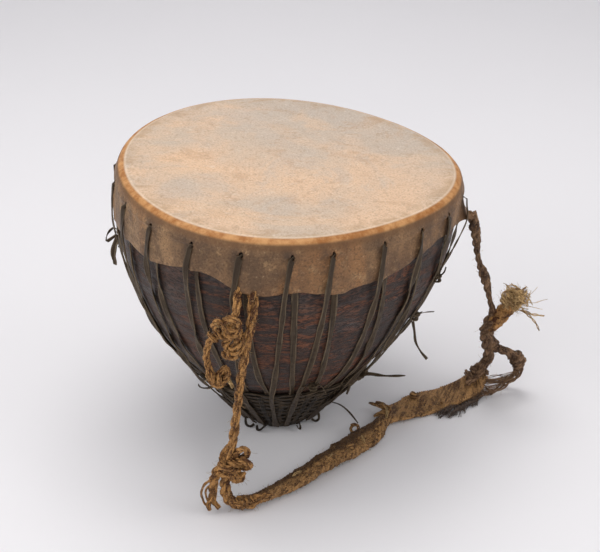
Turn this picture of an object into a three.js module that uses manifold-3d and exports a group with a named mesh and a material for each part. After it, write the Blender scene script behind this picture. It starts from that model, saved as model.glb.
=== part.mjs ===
// A bowl drum: a hollow wooden bowl on a small flat foot, a hide head laced down with
// leather thongs to a ring wound of strips at the foot, and a carrying sling of plant fibre,
// which is a woven band with a rope at each end. Millimetres, +Z up, the front towards -Y,
// and the origin at the middle of the foot's underside.
//
// The drum's own pieces are drawn round and level first, by azimuth (degrees from the front,
// positive to the right) and height. Then handmade() gives them all the same uneven form.

import * as THREE from 'three';
import { mergeVertices } from 'three/addons/utils/BufferGeometryUtils.js';
import Module from 'manifold-3d';

const wasm = await Module();
wasm.setup();

// ---------------------------------------------------------------- driving dimensions

const RIM_RADIUS = 200;
const RIM_HEIGHT = 344;
const RIM_TILT_DEG = 3.3;          // the rim is lower on the right
const RIM_DRIFT = 10.5;            // the rim's middle stands this far to the right of the foot's
const WARP_FROM = 100;             // below this height the drum is round and upright
const RIM_WAVES = [                // uneven rim: [lobes, cosine part, sine part]
  [2, -0.4, 1.8],
  [3, 5.4, 0.6],
  [4, 1.4, -0.4],
];

const BOWL_PROFILE = [             // outside of the wood: [height, radius]
  [0, 30],
  [9, 38],
  [22, 49],
  [41.5, 66],
  [71.5, 91],
  [101.5, 117.5],
  [140, 147.5],
  [185, 171.5],
  [235, 190.5],
  [290, 198],
  [330, 197.3],
];
const BOWL_INSIDE = [              // inside of the wood: [height, radius]
  [33, 0],
  [40, 36],
  [75, 77],
  [140, 128],
  [205, 162],
  [270, 179.5],
];
const RIM_EDGE = [                 // the rounded lip, from outside to inside
  [336, 195.8],
  [340.3, 191],
  [341.4, 183],
  [338.5, 179.5],
];

const CLEARANCE = 0.4;
const HIDE_THICKNESS = 2;
const HEAD_UNDERSIDE = 341.9;
const HIDE_UNDERSIDE = [           // the hide over the lip, from its flat outwards: [height, radius]
  [341.9, 184],
  [340.9, 191.4],
  [336.4, 196.5],
  [331, 197.9],
];
const HIDE_OUTSIDE = [             // and its outer face, from the skirt inwards
  [331.6, 200.6],
  [337.4, 199],
  [342.2, 194.4],
  [343.9, 187],
];
const SKIRT_GAP = 3.4;             // room for a thong between the skirt and the wood
const SKIRT_TOP = 326;             // the hide hangs clear of the wood below this height
const HEM = 288;
const HEM_LINE = [                 // the hide's uneven lower edge: [azimuth, height]
  [-155, 284], [-120, 292], [-95, 285], [-71, 281], [-59, 286], [-50, 283], [-40, 287],
  [-30, 295], [-22, 294], [-16, 286], [-8, 280], [6, 282], [19, 276], [28, 281],
  [40, 285], [53, 298], [66, 302], [84, 296], [103, 289], [125, 283], [150, 292], [178, 286],
];
const PULLS = [                    // where a rope pulls the skirt outwards
  { azimuth: -9, out: 5, spread: 6 },
  { azimuth: 84, out: 9, spread: 5 },
];

const FRONT_HOLES = [-78, -61, -44.5, -28, -12.5, 2.5, 15.5, 34, 50.5, 66, 82];  // their azimuths
const BACK_HOLES = 11;
const HOLE_HEIGHT = 320.5;         // the lower end of each lacing slot
const HOLE_LENGTH = 9;
const HOLE_WIDTH = 8.4;

const THONG_WIDTH = 6.2;
const THONG_THICKNESS = 2.2;
const TAIL_WIDTH = 4.5;
const PAIR_SPREAD_DEG = 1.1;       // half the angle between the two thongs of a hole, at the top
const RING_SPREAD_DEG = 1.3;       // and of two thongs that meet at the ring
const END_SPREAD_DEG = 4.6;        // the same, where one length of thong stops and the next starts
const LENGTH_ENDS = [6, 8, 9, 15, 21];  // the last hole of each length of thong

const RING_TOP = 97;
const RING_TOP_THICKNESS = 5;
const RING_FOOT_THICKNESS = 8.5;
const RING_COILS = 4;
const COIL_DEPTH = 1.3;
const RING_FOOT_FROM = 14;         // its lowest coil lies against the bowl at this height
const RING_BORE = 31;
const RING_FOOT_RADIUS = 44;
const RING_INNER_HEIGHTS = [97, 41.5, 9];  // where its inner face follows the bowl

const ROPE_DIAMETER = 11;
const THIN_ROPE_DIAMETER = 9.5;
const BAND_THICKNESS = 8;
const BAND_WIDTHS = [              // the sling's woven band: [share of its length, width]
  [0, 13], [0.14, 28], [0.32, 37], [0.48, 30], [0.58, 20], [0.66, 42], [0.8, 48], [0.93, 40], [1, 18],
];

// The ropes' routes, from the drum to their far ends.
const LEFT_ROPE = [
  [-24, -210, 274], [-26, -211, 250], [-31, -210, 225], [-35, -209, 200], [-39, -208, 175],
  [-42, -208, 150], [-45, -208, 125], [-48, -208, 102], [-51, -208, 84], [-54, -209, 68],
];
const LEFT_HANGER = [
  [-41, -216, 272], [-44, -216, 258], [-46, -215, 246], [-58, -214, 238], [-70, -213, 230],
  [-75, -212, 214], [-74, -211, 198], [-69, -210, 184], [-60, -209, 177],
];
const LEFT_KNOT_TIE = [
  [-57, -209, 58], [-59, -209, 38], [-57, -210, 20], [-48, -210, 10], [-36, -209, 9],
];
const LEFT_TAIL = [
  [-62, -209, 58], [-71, -210, 48], [-74, -212, 28], [-76, -215, 8],
];
const BAND_ROUTE = [
  [-29, -207, 11], [-8, -195, 12], [15, -179, 12], [38, -161, 11], [62, -134, 9], [87, -97, 7],
  [110, -60, 5], [131, -27, 4.6], [154, -3, 4.6], [180, 14, 4.8], [206, 27, 7], [232, 39, 12],
  [248, 46, 17],
];
const RIGHT_ROPE = [
  [228, -17, 286], [231, -13, 270], [235, -9, 252], [240, -1, 218], [252, 7, 183],
  [260, 15, 150], [266, 20, 126], [262, 26, 102], [265, 32, 75], [262, 38, 50], [257, 42, 32],
];
const RIGHT_KNOT_NECK = [
  [266, 20, 124], [276, 20, 132], [286, 18, 144],
];
const RIGHT_LOOP = [
  [272, 33, 84], [284, 35, 76], [298, 38, 60], [308, 42, 44], [309, 46, 26], [298, 49, 12],
  [280, 50, 10], [266, 48, 12],
];

// ---------------------------------------------------------------- shared helpers

const radians = THREE.MathUtils.degToRad;
const lerp = THREE.MathUtils.lerp;
const clamp = THREE.MathUtils.clamp;
const smoothstep = THREE.MathUtils.smoothstep;
const vector = (p) => new THREE.Vector3(...p);
const path = (points) => new THREE.CatmullRomCurve3(points.map(vector), false, 'centripetal');

// A smooth value from a table of [x, value] rows, with straight ends.
function smooth(table, x) {
  const last = table.length - 1;
  const slope = (i) => {
    const [a, b] = [table[Math.max(i - 1, 0)], table[Math.min(i + 1, last)]];
    return (b[1] - a[1]) / (b[0] - a[0]);
  };
  let i = 0;
  while (i < last - 1 && x > table[i + 1][0]) i += 1;
  const span = table[i + 1][0] - table[i][0];
  const u = clamp((x - table[i][0]) / span, 0, 1);
  const [u2, u3] = [u * u, u * u * u];
  return (2 * u3 - 3 * u2 + 1) * table[i][1] + (u3 - 2 * u2 + u) * span * slope(i)
    + (3 * u2 - 2 * u3) * table[i + 1][1] + (u3 - u2) * span * slope(i + 1);
}

// The point of the drum at an azimuth, a radius and a height.
function place(azimuth, radius, height) {
  const a = radians(azimuth);
  return new THREE.Vector3(radius * Math.sin(a), -radius * Math.cos(a), height);
}

const azimuthOf = (x, y) => THREE.MathUtils.radToDeg(Math.atan2(x, -y));
const bowlRadius = (height) => smooth(BOWL_PROFILE, height);

// The point at a distance off the bowl's skin, square to it.
function offBowl(height, distance) {
  const slope = (bowlRadius(height + 1) - bowlRadius(height - 1)) / 2;
  const length = Math.hypot(1, slope);
  return { radius: bowlRadius(height) + distance / length, height: height - distance * slope / length };
}

function mapVertices(geometry, change) {
  const position = geometry.attributes.position;
  const point = new THREE.Vector3();
  for (let i = 0; i < position.count; i += 1) {
    point.fromBufferAttribute(position, i);
    change(point);
    position.setXYZ(i, point.x, point.y, point.z);
  }
  return geometry;
}

// The uneven form that every piece of the drum shares.
function handmade(geometry) {
  return mapVertices(geometry, (point) => {
    const share = smoothstep(point.z, WARP_FROM, RIM_HEIGHT);
    const angle = Math.atan2(point.y, point.x);
    let wave = 0;
    for (const [lobes, cosine, sine] of RIM_WAVES) {
      wave += cosine * Math.cos(lobes * angle) + sine * Math.sin(lobes * angle);
    }
    const grow = 1 + share * wave / RIM_RADIUS;
    const x = point.x * grow;
    const drift = RIM_DRIFT * (clamp(point.z, 0, RIM_HEIGHT) / RIM_HEIGHT) ** 2;
    point.set(x + drift, point.y * grow, point.z - Math.tan(radians(RIM_TILT_DEG)) * x * share);
  });
}

function welded(geometry) {
  const bare = geometry.clone();
  bare.deleteAttribute('normal');
  bare.deleteAttribute('uv');
  return mergeVertices(bare, 1e-4);
}

function toSolid(geometry) {
  const closed = welded(geometry);
  const mesh = new wasm.Mesh({
    numProp: 3,
    vertProperties: new Float32Array(closed.attributes.position.array),
    triVerts: new Uint32Array(closed.index.array),
  });
  const solid = new wasm.Manifold(mesh);
  if (solid.volume() > 0) return solid;
  for (let i = 0; i < mesh.triVerts.length; i += 3) {
    [mesh.triVerts[i], mesh.triVerts[i + 1]] = [mesh.triVerts[i + 1], mesh.triVerts[i]];
  }
  return new wasm.Manifold(mesh);
}

function toGeometry(solid) {
  const mesh = solid.getMesh();
  const geometry = new THREE.BufferGeometry();
  geometry.setAttribute('position', new THREE.BufferAttribute(new Float32Array(mesh.vertProperties), 3));
  geometry.setIndex(new THREE.BufferAttribute(new Uint32Array(mesh.triVerts), 1));
  return geometry;
}

const joined = (geometries) => geometries.map(toSolid).reduce((whole, next) => whole.add(next));

// A solid of revolution about +Z from [height, radius] rows that start and end on the axis,
// or that close on themselves.
function turned(rows, segments) {
  const points = rows.map(([height, radius]) => new THREE.Vector2(radius, height));
  return new THREE.LatheGeometry(points, segments).rotateX(Math.PI / 2);
}

function oval(thickness, width, sides) {
  const corners = [];
  for (let i = 0; i < sides; i += 1) {
    const angle = 2 * Math.PI * i / sides;
    corners.push(new THREE.Vector2(thickness / 2 * Math.cos(angle), width / 2 * Math.sin(angle)));
  }
  return new THREE.Shape(corners);
}

function rope(points, diameter, steps) {
  return new THREE.ExtrudeGeometry(oval(diameter, diameter, 8), { steps, extrudePath: path(points) });
}

// A lump of knotted rope or thong.
function lump(centre, radii) {
  return new THREE.SphereGeometry(1, 7, 5).scale(...radii).translate(...centre);
}

// ---------------------------------------------------------------- wooden bowl

const BOWL_SEGMENTS = 48;

function makeBowl() {
  const outside = [[0, 0], ...BOWL_PROFILE];
  return turned([...outside, ...RIM_EDGE, ...[...BOWL_INSIDE].reverse()], BOWL_SEGMENTS);
}

// ---------------------------------------------------------------- hide head

const HIDE_SEGMENTS = 48;
const SLOT_CUT = 24;
const hideThrough = SKIRT_GAP + HIDE_THICKNESS;

// The hem's height at an azimuth, all the way round.
function hemHeight(azimuth) {
  const first = HEM_LINE[0];
  const closed = [...HEM_LINE, [first[0] + 360, first[1]]];
  return smooth(closed, azimuth < first[0] ? azimuth + 360 : azimuth);
}

// How far the skirt is pulled out at an azimuth and a share of its depth.
function pull(azimuth, share) {
  const most = PULLS.map(({ azimuth: at, out, spread }) => out * Math.exp(-(((azimuth - at) / spread) ** 2)));
  return Math.max(...most) * share ** 2;
}

function makeDrumhead() {
  const skirtRow = (height, distance) => [height, bowlRadius(height) + distance];
  const middle = (SKIRT_TOP + HEM) / 2;
  const profile = [
    [HEAD_UNDERSIDE, 0],
    ...HIDE_UNDERSIDE,
    ...[SKIRT_TOP, middle, HEM].map((height) => skirtRow(height, SKIRT_GAP)),
    ...[HEM, middle, SKIRT_TOP].map((height) => skirtRow(height, hideThrough)),
    ...HIDE_OUTSIDE,
    [HEAD_UNDERSIDE + HIDE_THICKNESS, 0],
  ];
  const hide = mapVertices(turned(profile, HIDE_SEGMENTS), (point) => {
    if (point.z > SKIRT_TOP + 0.01) return;
    const azimuth = azimuthOf(point.x, point.y);
    const share = (SKIRT_TOP - point.z) / (SKIRT_TOP - HEM);
    const distance = Math.hypot(point.x, point.y) - bowlRadius(point.z);
    const height = SKIRT_TOP - share * (SKIRT_TOP - hemHeight(azimuth));
    point.copy(place(azimuth, bowlRadius(height) + distance + pull(azimuth, share), height));
  });
  const slots = joined(holes.map((azimuth) => {
    const middleOfSlot = HOLE_HEIGHT + HOLE_LENGTH / 2;
    const centre = place(azimuth, bowlRadius(middleOfSlot) + hideThrough, middleOfSlot);
    const slot = new THREE.BoxGeometry(HOLE_WIDTH, SLOT_CUT, HOLE_LENGTH);
    return slot.rotateZ(radians(azimuth)).translate(...centre.toArray());
  }));
  return toGeometry(toSolid(hide).subtract(slots));
}

// ---------------------------------------------------------------- foot ring

const RING_SEGMENTS = 40;

const ringThickness = (height) => (
  lerp(RING_FOOT_THICKNESS, RING_TOP_THICKNESS, (height - RING_FOOT_FROM) / (RING_TOP - RING_FOOT_FROM)));

// The section of a ring wound of strips, which sits round the bowl's foot like a basket.
function ringRows(grown) {
  const rows = [];
  const outerSteps = RING_COILS * 2;
  for (let i = 0; i <= outerSteps; i += 1) {
    const height = lerp(RING_FOOT_FROM, RING_TOP, i / outerSteps);
    const groove = i % 2 === 0 ? COIL_DEPTH : 0;
    const { radius, height: z } = offBowl(height, ringThickness(height) - groove + grown);
    rows.push([z, radius]);
  }
  const inner = RING_INNER_HEIGHTS.map((height) => {
    const { radius, height: z } = offBowl(height, CLEARANCE - grown);
    return [z + grown, radius];
  });
  rows.push(...inner, [0, RING_BORE], [0, RING_FOOT_RADIUS + grown], rows[0]);
  return rows;
}

const makeFootRing = () => turned(ringRows(0), RING_SEGMENTS);

// ---------------------------------------------------------------- lacing

const holes = [...FRONT_HOLES];
for (let i = 1; i <= BACK_HOLES; i += 1) {
  const [from, to] = [FRONT_HOLES.at(-1), FRONT_HOLES[0] + 360];
  holes.push(lerp(from, to, i / (BACK_HOLES + 1)));
}

// From the bowl's skin to the middle of a thong, on the wood, and over the skirt. On the ring
// it is the ring's thickness and this.
const THONG_ON_WOOD = CLEARANCE + THONG_THICKNESS / 2 + 0.25;
const THONG_ON_RING = THONG_ON_WOOD + 0.5;
const KNOT_ON_WOOD = THONG_ON_WOOD + 1.5;
const THONG_ON_HIDE = hideThrough + CLEARANCE + THONG_THICKNESS / 2 + 0.6;
const STRAND_HEIGHTS = [16, 98, 140, 185, 235, 282];
const RING_LEVELS = 2;             // the first of those heights are on the ring
const HEM_MARGIN = 5;              // a strand starts to climb over the hem this far below it
const PULL_MARGIN_DEG = 2.4;
const PULL_ROOM = 1.2;
const PULL_AT_SLOT = 0.25;

// The meeting place at the ring between hole i and the next one.
function meetingPlace(i) {
  const count = holes.length;
  const next = holes[(i + 1) % count] + (i + 1 >= count ? 360 : 0);
  return (holes[(i + count) % count] + (i < 0 ? next - 360 : next)) / 2;
}

const endsLength = (i) => LENGTH_ENDS.includes((i + holes.length) % holes.length);

function strandDistance(height, azimuth, onHide) {
  if (height <= RING_TOP + 1) return ringThickness(height) + THONG_ON_RING;
  if (!onHide || height < hemHeight(azimuth) - HEM_MARGIN) return THONG_ON_WOOD;
  const pulled = Math.max(pull(azimuth - PULL_MARGIN_DEG, 1), pull(azimuth + PULL_MARGIN_DEG, 1));
  return THONG_ON_HIDE + PULL_ROOM * pulled;
}

// One strand as places from the ring up: it slants evenly from the ring to the hole.
function strand(topAzimuth, ringAzimuth, onHide) {
  const start = offBowl(STRAND_HEIGHTS[RING_LEVELS - 1], 0);
  const reach = (height) => Math.hypot(bowlRadius(height) - start.radius, height - start.height);
  const lean = (ringAzimuth - topAzimuth) * start.radius;
  const top = onHide ? hemHeight(topAzimuth) - HEM_MARGIN + 1 : STRAND_HEIGHTS.at(-1);
  return [...STRAND_HEIGHTS.slice(0, -1), top].map((height, level) => {
    const left = 1 - reach(height) / reach(HOLE_HEIGHT);
    const azimuth = level < RING_LEVELS ? ringAzimuth : topAzimuth + lean * left / bowlRadius(height);
    const { radius, height: z } = offBowl(height, strandDistance(height, azimuth, onHide));
    return place(azimuth, radius, z);
  });
}

// A flat thong through the places given. Its width lies along the azimuth all the way.
function thong(places, width = THONG_WIDTH) {
  const steps = places.length - 1;
  const bar = new THREE.BoxGeometry(width, 1, THONG_THICKNESS, 1, steps, 1);
  return mapVertices(bar, (point) => {
    const i = Math.round((point.y + 0.5) * steps);
    const [before, here, after] = [places[Math.max(i - 1, 0)], places[i], places[Math.min(i + 1, steps)]];
    const along = after.clone().sub(before).normalize();
    const side = new THREE.Vector3(-here.y, here.x, 0).normalize();
    const out = side.clone().cross(along).normalize();
    const across = along.clone().cross(out).normalize();
    point.copy(here.clone().addScaledVector(across, point.x).addScaledVector(out, point.z));
  });
}

// One stitch: up over the skirt, in through the slot, down behind the hide and back to the ring.
function makeStitch(i) {
  const azimuth = holes[i];
  const beforeSpread = endsLength(i - 1) ? END_SPREAD_DEG : RING_SPREAD_DEG;
  const afterSpread = endsLength(i) ? END_SPREAD_DEG : RING_SPREAD_DEG;
  const outer = strand(azimuth - PAIR_SPREAD_DEG, meetingPlace(i - 1) + beforeSpread, true);
  const inner = strand(azimuth + PAIR_SPREAD_DEG, meetingPlace(i) - afterSpread, false);
  const overHide = THONG_ON_HIDE + PULL_AT_SLOT * pull(azimuth, 1);
  const bend = [
    [-4, overHide, -PAIR_SPREAD_DEG / 2],
    [0, overHide, -PAIR_SPREAD_DEG / 4],
    [3.4, lerp(overHide, THONG_ON_WOOD, 0.5), 0],
    [1.5, THONG_ON_WOOD, PAIR_SPREAD_DEG / 4],
  ].map(([rise, distance, turn]) => {
    const height = HOLE_HEIGHT + rise;
    return place(azimuth + turn, bowlRadius(height) + distance, height);
  });
  return thong([...outer, ...bend, ...inner.reverse()]);
}

// Loose ends start at a place on the drum. Each is a list of [to the right, outwards, up]
// steps from there.
function looseEnds({ azimuth, height, tails }) {
  const { radius, height: z } = offBowl(height, KNOT_ON_WOOD);
  return tails.map((tail) => thong(tail.map(([right, out, up]) => (
    place(azimuth, radius + out, z + up).add(place(azimuth + 90, right, 0)))), TAIL_WIDTH));
}

// A knot in a thong, with its loose ends.
function thongKnot(knot) {
  const { radius, height } = offBowl(knot.height, KNOT_ON_WOOD);
  return [lump(place(knot.azimuth, radius, height).toArray(), knot.radii), ...looseEnds(knot)];
}

// The space that the bowl and the ring fill, and a little more.
const clearOfDrum = joined([
  turned([[0, 0], ...[...BOWL_PROFILE, ...RIM_EDGE].map(([height, radius]) => [height, radius + CLEARANCE]),
    [RIM_EDGE.at(-1)[0], 0]], BOWL_SEGMENTS),
  turned(ringRows(CLEARANCE), RING_SEGMENTS),
]);

// The knot that ends each length of thong, on the last strand of that length.
const THONG_KNOTS = [
  {
    azimuth: 17.5, height: 122, radii: [10, 5, 5],
    tails: [
      [[0, 0, 0], [-8, 3, 4], [-14, 5, 1], [-16, 6, -6]],
      [[0, 0, 0], [8, 3, -3], [13, 6, -9]],
    ],
  },
  {
    azimuth: 54, height: 112, radii: [8, 8, 8],
    tails: [
      [[0, 0, 0], [8, 13, 2], [17, 25, 2], [27, 38, -1]],
      [[0, 0, 0], [-2, 4, -9], [-9, 3, -18], [-16, 4, -22]],
    ],
  },
  {
    azimuth: 67.3, height: 190, radii: [7, 7, 7],
    tails: [
      [[0, 0, 0], [4, 11, 3], [9, 25, 8]],
      [[0, 0, 0], [1, 4, -10], [2, 5, -24], [6, 14, -38]],
    ],
  },
  {
    azimuth: 167.4, height: 176, radii: [8, 8, 8],
    tails: [[[0, 0, 0], [-5, 4, -10], [-8, 5, -26]]],
  },
  {
    azimuth: 266.6, height: 262, radii: [7, 7, 8],
    tails: [
      [[0, 0, 0], [-2, 10, 10], [-4, 14, 24], [-8, 11, 32]],
      [[0, 0, 0], [2, 5, -12], [3, 4, -28]],
    ],
  },
];

// Ends that come out of the ring.
const RING_ENDS = [
  { length: 0, azimuth: -51.5, height: 84, tails: [[[0, 0, 0], [-4, 9, -3], [-7, 15, -1]]] },
  { length: 2, azimuth: 62.8, height: 52, tails: [[[0, 4, 0], [0, 16, 1], [1, 27, -9], [1, 33, -24]]] },
];

function makeLacing(length) {
  const first = length === 0 ? 0 : LENGTH_ENDS[length - 1] + 1;
  const knotted = thongKnot(THONG_KNOTS[length]);
  for (const end of RING_ENDS.filter((ends) => ends.length === length)) knotted.push(...looseEnds(end));
  const stitches = [];
  for (let i = first; i <= LENGTH_ENDS[length]; i += 1) stitches.push(makeStitch(i));
  return toGeometry(joined(stitches).add(joined(knotted).subtract(clearOfDrum)));
}

// ---------------------------------------------------------------- sling

// A knot: rope runs and lumps joined, with a clear bore for the rope that passes through.
const makeKnot = (pieces, bore) => toGeometry(joined(pieces).subtract(toSolid(bore)));

const boreFor = (points, diameter, steps) => rope(points, diameter + 2 * CLEARANCE, steps);

// The band is drawn 1 mm wide along its route, then spread level to its width.
function makeBand() {
  const steps = 14;
  const curve = path(BAND_ROUTE);
  const spine = curve.getSpacedPoints(steps);
  const flat = new THREE.ExtrudeGeometry(oval(BAND_THICKNESS, 1, 10), { steps, extrudePath: curve });
  return mapVertices(flat, (point) => {
    const distances = spine.map((middle) => middle.distanceTo(point));
    const i = distances.indexOf(Math.min(...distances));
    const along = curve.getTangentAt(i / steps);
    const across = new THREE.Vector3(-along.y, along.x, 0).normalize();
    const share = point.clone().sub(spine[i]).dot(across);
    point.addScaledVector(across, share * (smooth(BAND_WIDTHS, i / steps) - 1));
  });
}

const LEFT_STEPS = 9;
const RIGHT_STEPS = 13;

const leftBore = boreFor(LEFT_ROPE, ROPE_DIAMETER, LEFT_STEPS);
const rightBore = boreFor(RIGHT_ROPE, THIN_ROPE_DIAMETER, RIGHT_STEPS);

const makeLeftHanger = () => makeKnot([
  rope(LEFT_HANGER, 8.5, 11),
  lump([-45, -216, 238], [12, 7, 13]),
  lump([-64, -214, 240], [12, 7, 10]),
  lump([-48, -214, 214], [10, 7, 15]),
  lump([-60, -210, 178], [11, 7, 9]),
], leftBore);

const makeLeftKnot = () => makeKnot([
  rope(LEFT_KNOT_TIE, 10.5, 6),
  rope(LEFT_TAIL, 9, 5),
  lump([-54, -209, 64], [13, 11, 14]),
  lump([-36, -210, 78], [11, 9, 9]),
  lump([-35, -210, 65], [11, 9, 9]),
], leftBore);

const makeRightKnot = () => makeKnot([
  rope(RIGHT_KNOT_NECK, 13, 3),
  lump([266, 20, 124], [13, 13, 15]),
  lump([291, 17, 148], [14, 14, 13]),
], rightBore);

const makeRightLoop = () => makeKnot([
  rope(RIGHT_LOOP, 10, 12),
  lump([272, 32, 84], [11, 11, 9]),
  lump([308, 42, 45], [10, 9, 11]),
  lump([262, 46, 16], [13, 10, 9]),
], rightBore);

// ---------------------------------------------------------------- assembly

const finish = (color, roughness) => ({ color, roughness, metalness: 0 });
const WOOD = finish(0x2e211d, 0.55);
const HIDE = finish(0xb08a5e, 0.6);
const WOUND_STRIPS = finish(0x33271c, 0.8);
const LEATHER = finish(0x4a3d2e, 0.65);
const FIBRE = finish(0x80582f, 0.9);

const drum = new THREE.Group();
const sling = new THREE.Group();

function add(group, name, geometry, look) {
  const mesh = new THREE.Mesh(geometry, new THREE.MeshStandardMaterial(look));
  mesh.name = name;
  group.add(mesh);
}

add(drum, 'bowl', handmade(makeBowl()), WOOD);
add(drum, 'drumhead', handmade(makeDrumhead()), HIDE);
add(drum, 'foot_ring', handmade(makeFootRing()), WOUND_STRIPS);

LENGTH_ENDS.forEach((last, length) => {
  add(drum, `lacing_thong_${length + 1}`, handmade(makeLacing(length)), LEATHER);
});

add(sling, 'rope_left', rope(LEFT_ROPE, ROPE_DIAMETER, LEFT_STEPS), FIBRE);
add(sling, 'rope_left_hanger', makeLeftHanger(), FIBRE);
add(sling, 'rope_left_knot', makeLeftKnot(), FIBRE);
add(sling, 'sling_band', makeBand(), FIBRE);
add(sling, 'rope_right', rope(RIGHT_ROPE, THIN_ROPE_DIAMETER, RIGHT_STEPS), FIBRE);
add(sling, 'rope_right_knot', makeRightKnot(), FIBRE);
add(sling, 'rope_right_loop', makeRightLoop(), FIBRE);

const object = new THREE.Group();
object.add(drum, sling);

export default object;
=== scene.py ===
import math
import random

import bpy
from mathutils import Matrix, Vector, noise
from mathutils.kdtree import KDTree


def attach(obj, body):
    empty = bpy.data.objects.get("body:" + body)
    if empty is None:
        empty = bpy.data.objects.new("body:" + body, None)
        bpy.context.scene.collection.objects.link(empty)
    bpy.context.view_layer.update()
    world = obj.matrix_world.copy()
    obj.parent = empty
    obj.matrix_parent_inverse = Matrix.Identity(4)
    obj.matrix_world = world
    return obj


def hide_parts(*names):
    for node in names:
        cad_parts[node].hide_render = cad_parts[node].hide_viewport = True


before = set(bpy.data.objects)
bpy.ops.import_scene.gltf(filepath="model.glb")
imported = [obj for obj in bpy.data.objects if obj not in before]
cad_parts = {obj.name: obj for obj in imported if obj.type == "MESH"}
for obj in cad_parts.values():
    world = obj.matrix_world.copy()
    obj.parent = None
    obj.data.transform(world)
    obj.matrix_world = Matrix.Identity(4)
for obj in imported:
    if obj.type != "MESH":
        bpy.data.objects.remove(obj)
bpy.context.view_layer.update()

# ---------------------------------------------------------------------------- the bowl
# The body is hollowed from one block of hardwood, thin at the lip and thick at the foot. It
# was cut with an adze, so faint level cuts run round it, and smoke, oil and hands have made
# it almost black, with the red of the wood left in the cuts.

RIM_RADIUS, RIM_HEIGHT = 0.200, 0.344
RIM_TILT = math.tan(math.radians(3.3))      # the rim is lower on the right
RIM_DRIFT = 0.0105                          # and its middle stands to the right of the foot's
UNEVEN_FROM = 0.100                         # the drum is round and upright below this height
RIM_WAVES = [(2, -0.0004, 0.0018), (3, 0.0054, 0.0006), (4, 0.0014, -0.0004)]
BOWL_OUTSIDE = [                            # height and radius of the wood's skin
    (0, .030), (.009, .038), (.022, .049), (.0415, .066), (.0715, .091), (.1015, .1175),
    (.140, .1475), (.185, .1715), (.235, .1905), (.290, .198), (.330, .1973)]
BOWL_LIP = [(.336, .1958), (.3403, .191), (.3414, .183), (.3385, .1795)]
BOWL_INSIDE = [(.270, .1795), (.205, .162), (.140, .128), (.075, .077), (.040, .036)]
BOWL_FLOOR = 0.033
BOWL_SEGMENTS = 192
BOWL_STEP = 0.0045
ADZE_DEPTH = 0.0009
ROUGH_INSIDE = 3                            # times deeper inside


def smooth(table, x):
    """A smooth value from rows of (x, value)."""
    last = len(table) - 1
    i = 0
    while i < last - 1 and x > table[i + 1][0]:
        i += 1

    def slope(k):
        a, b = table[max(k - 1, 0)], table[min(k + 1, last)]
        return (b[1] - a[1]) / (b[0] - a[0])

    span = table[i + 1][0] - table[i][0]
    u = min(max((x - table[i][0]) / span, 0), 1)
    return ((2 * u ** 3 - 3 * u ** 2 + 1) * table[i][1] + (u ** 3 - 2 * u ** 2 + u) * span * slope(i)
            + (3 * u ** 2 - 2 * u ** 3) * table[i + 1][1] + (u ** 3 - u ** 2) * span * slope(i + 1))


def handmade(point):
    """The uneven form that every piece of the drum shares."""
    x, y, z = point
    share = min(max((z - UNEVEN_FROM) / (RIM_HEIGHT - UNEVEN_FROM), 0), 1)
    share = share * share * (3 - 2 * share)
    angle = math.atan2(y, x)
    wave = sum(c * math.cos(n * angle) + s * math.sin(n * angle) for n, c, s in RIM_WAVES)
    grow = 1 + share * wave / RIM_RADIUS
    drift = RIM_DRIFT * (min(max(z, 0), RIM_HEIGHT) / RIM_HEIGHT) ** 2
    return Vector((x * grow + drift, y * grow, z - RIM_TILT * x * grow * share))


def place(azimuth, radius, height):
    """A point by azimuth, in degrees from the front and positive to the right."""
    a = math.radians(azimuth)
    return Vector((radius * math.sin(a), -radius * math.cos(a), height))


def bowl_radius(height):
    return smooth(BOWL_OUTSIDE, height)


def off_bowl(height, distance):
    """Height and radius of the place that lies off the bowl's skin, square to it."""
    slope = (bowl_radius(height + .001) - bowl_radius(height - .001)) / .002
    length = math.hypot(1, slope)
    return height - distance * slope / length, bowl_radius(height) + distance / length


def on_drum(azimuth, height, distance=0.0):
    z, radius = off_bowl(height, distance)
    return handmade(place(azimuth, radius, z))


def put(name, data):
    """A new object in the scene."""
    made = bpy.data.objects.new(name, data)
    bpy.context.scene.collection.objects.link(made)
    return made


def mark(mesh, key, values, kind="FLOAT"):
    """Keeps a number, or the parts of a vector, at each vertex under a name."""
    field = mesh.attributes.new(key, kind, "POINT")
    field.data.foreach_set("vector" if kind == "FLOAT_VECTOR" else "value", values)


def shell(name, rings):
    """A closed skin through rings of points. A ring of one point is a pole."""
    verts, faces, starts = [], [], []
    for ring in rings:
        starts.append(len(verts))
        verts.extend(ring)
    for low, high, a, b in zip(rings, rings[1:], starts, starts[1:]):
        count = max(len(low), len(high))
        for k in range(count):
            n = (k + 1) % count
            if len(low) == 1:
                faces.append((a, b + n, b + k))
            elif len(high) == 1:
                faces.append((a + k, a + n, b))
            else:
                faces.append((a + k, a + n, b + n, b + k))
    mesh = bpy.data.meshes.new(name)
    mesh.from_pydata(verts, [], faces)
    mesh.shade_smooth()
    return put(name, mesh)


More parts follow.
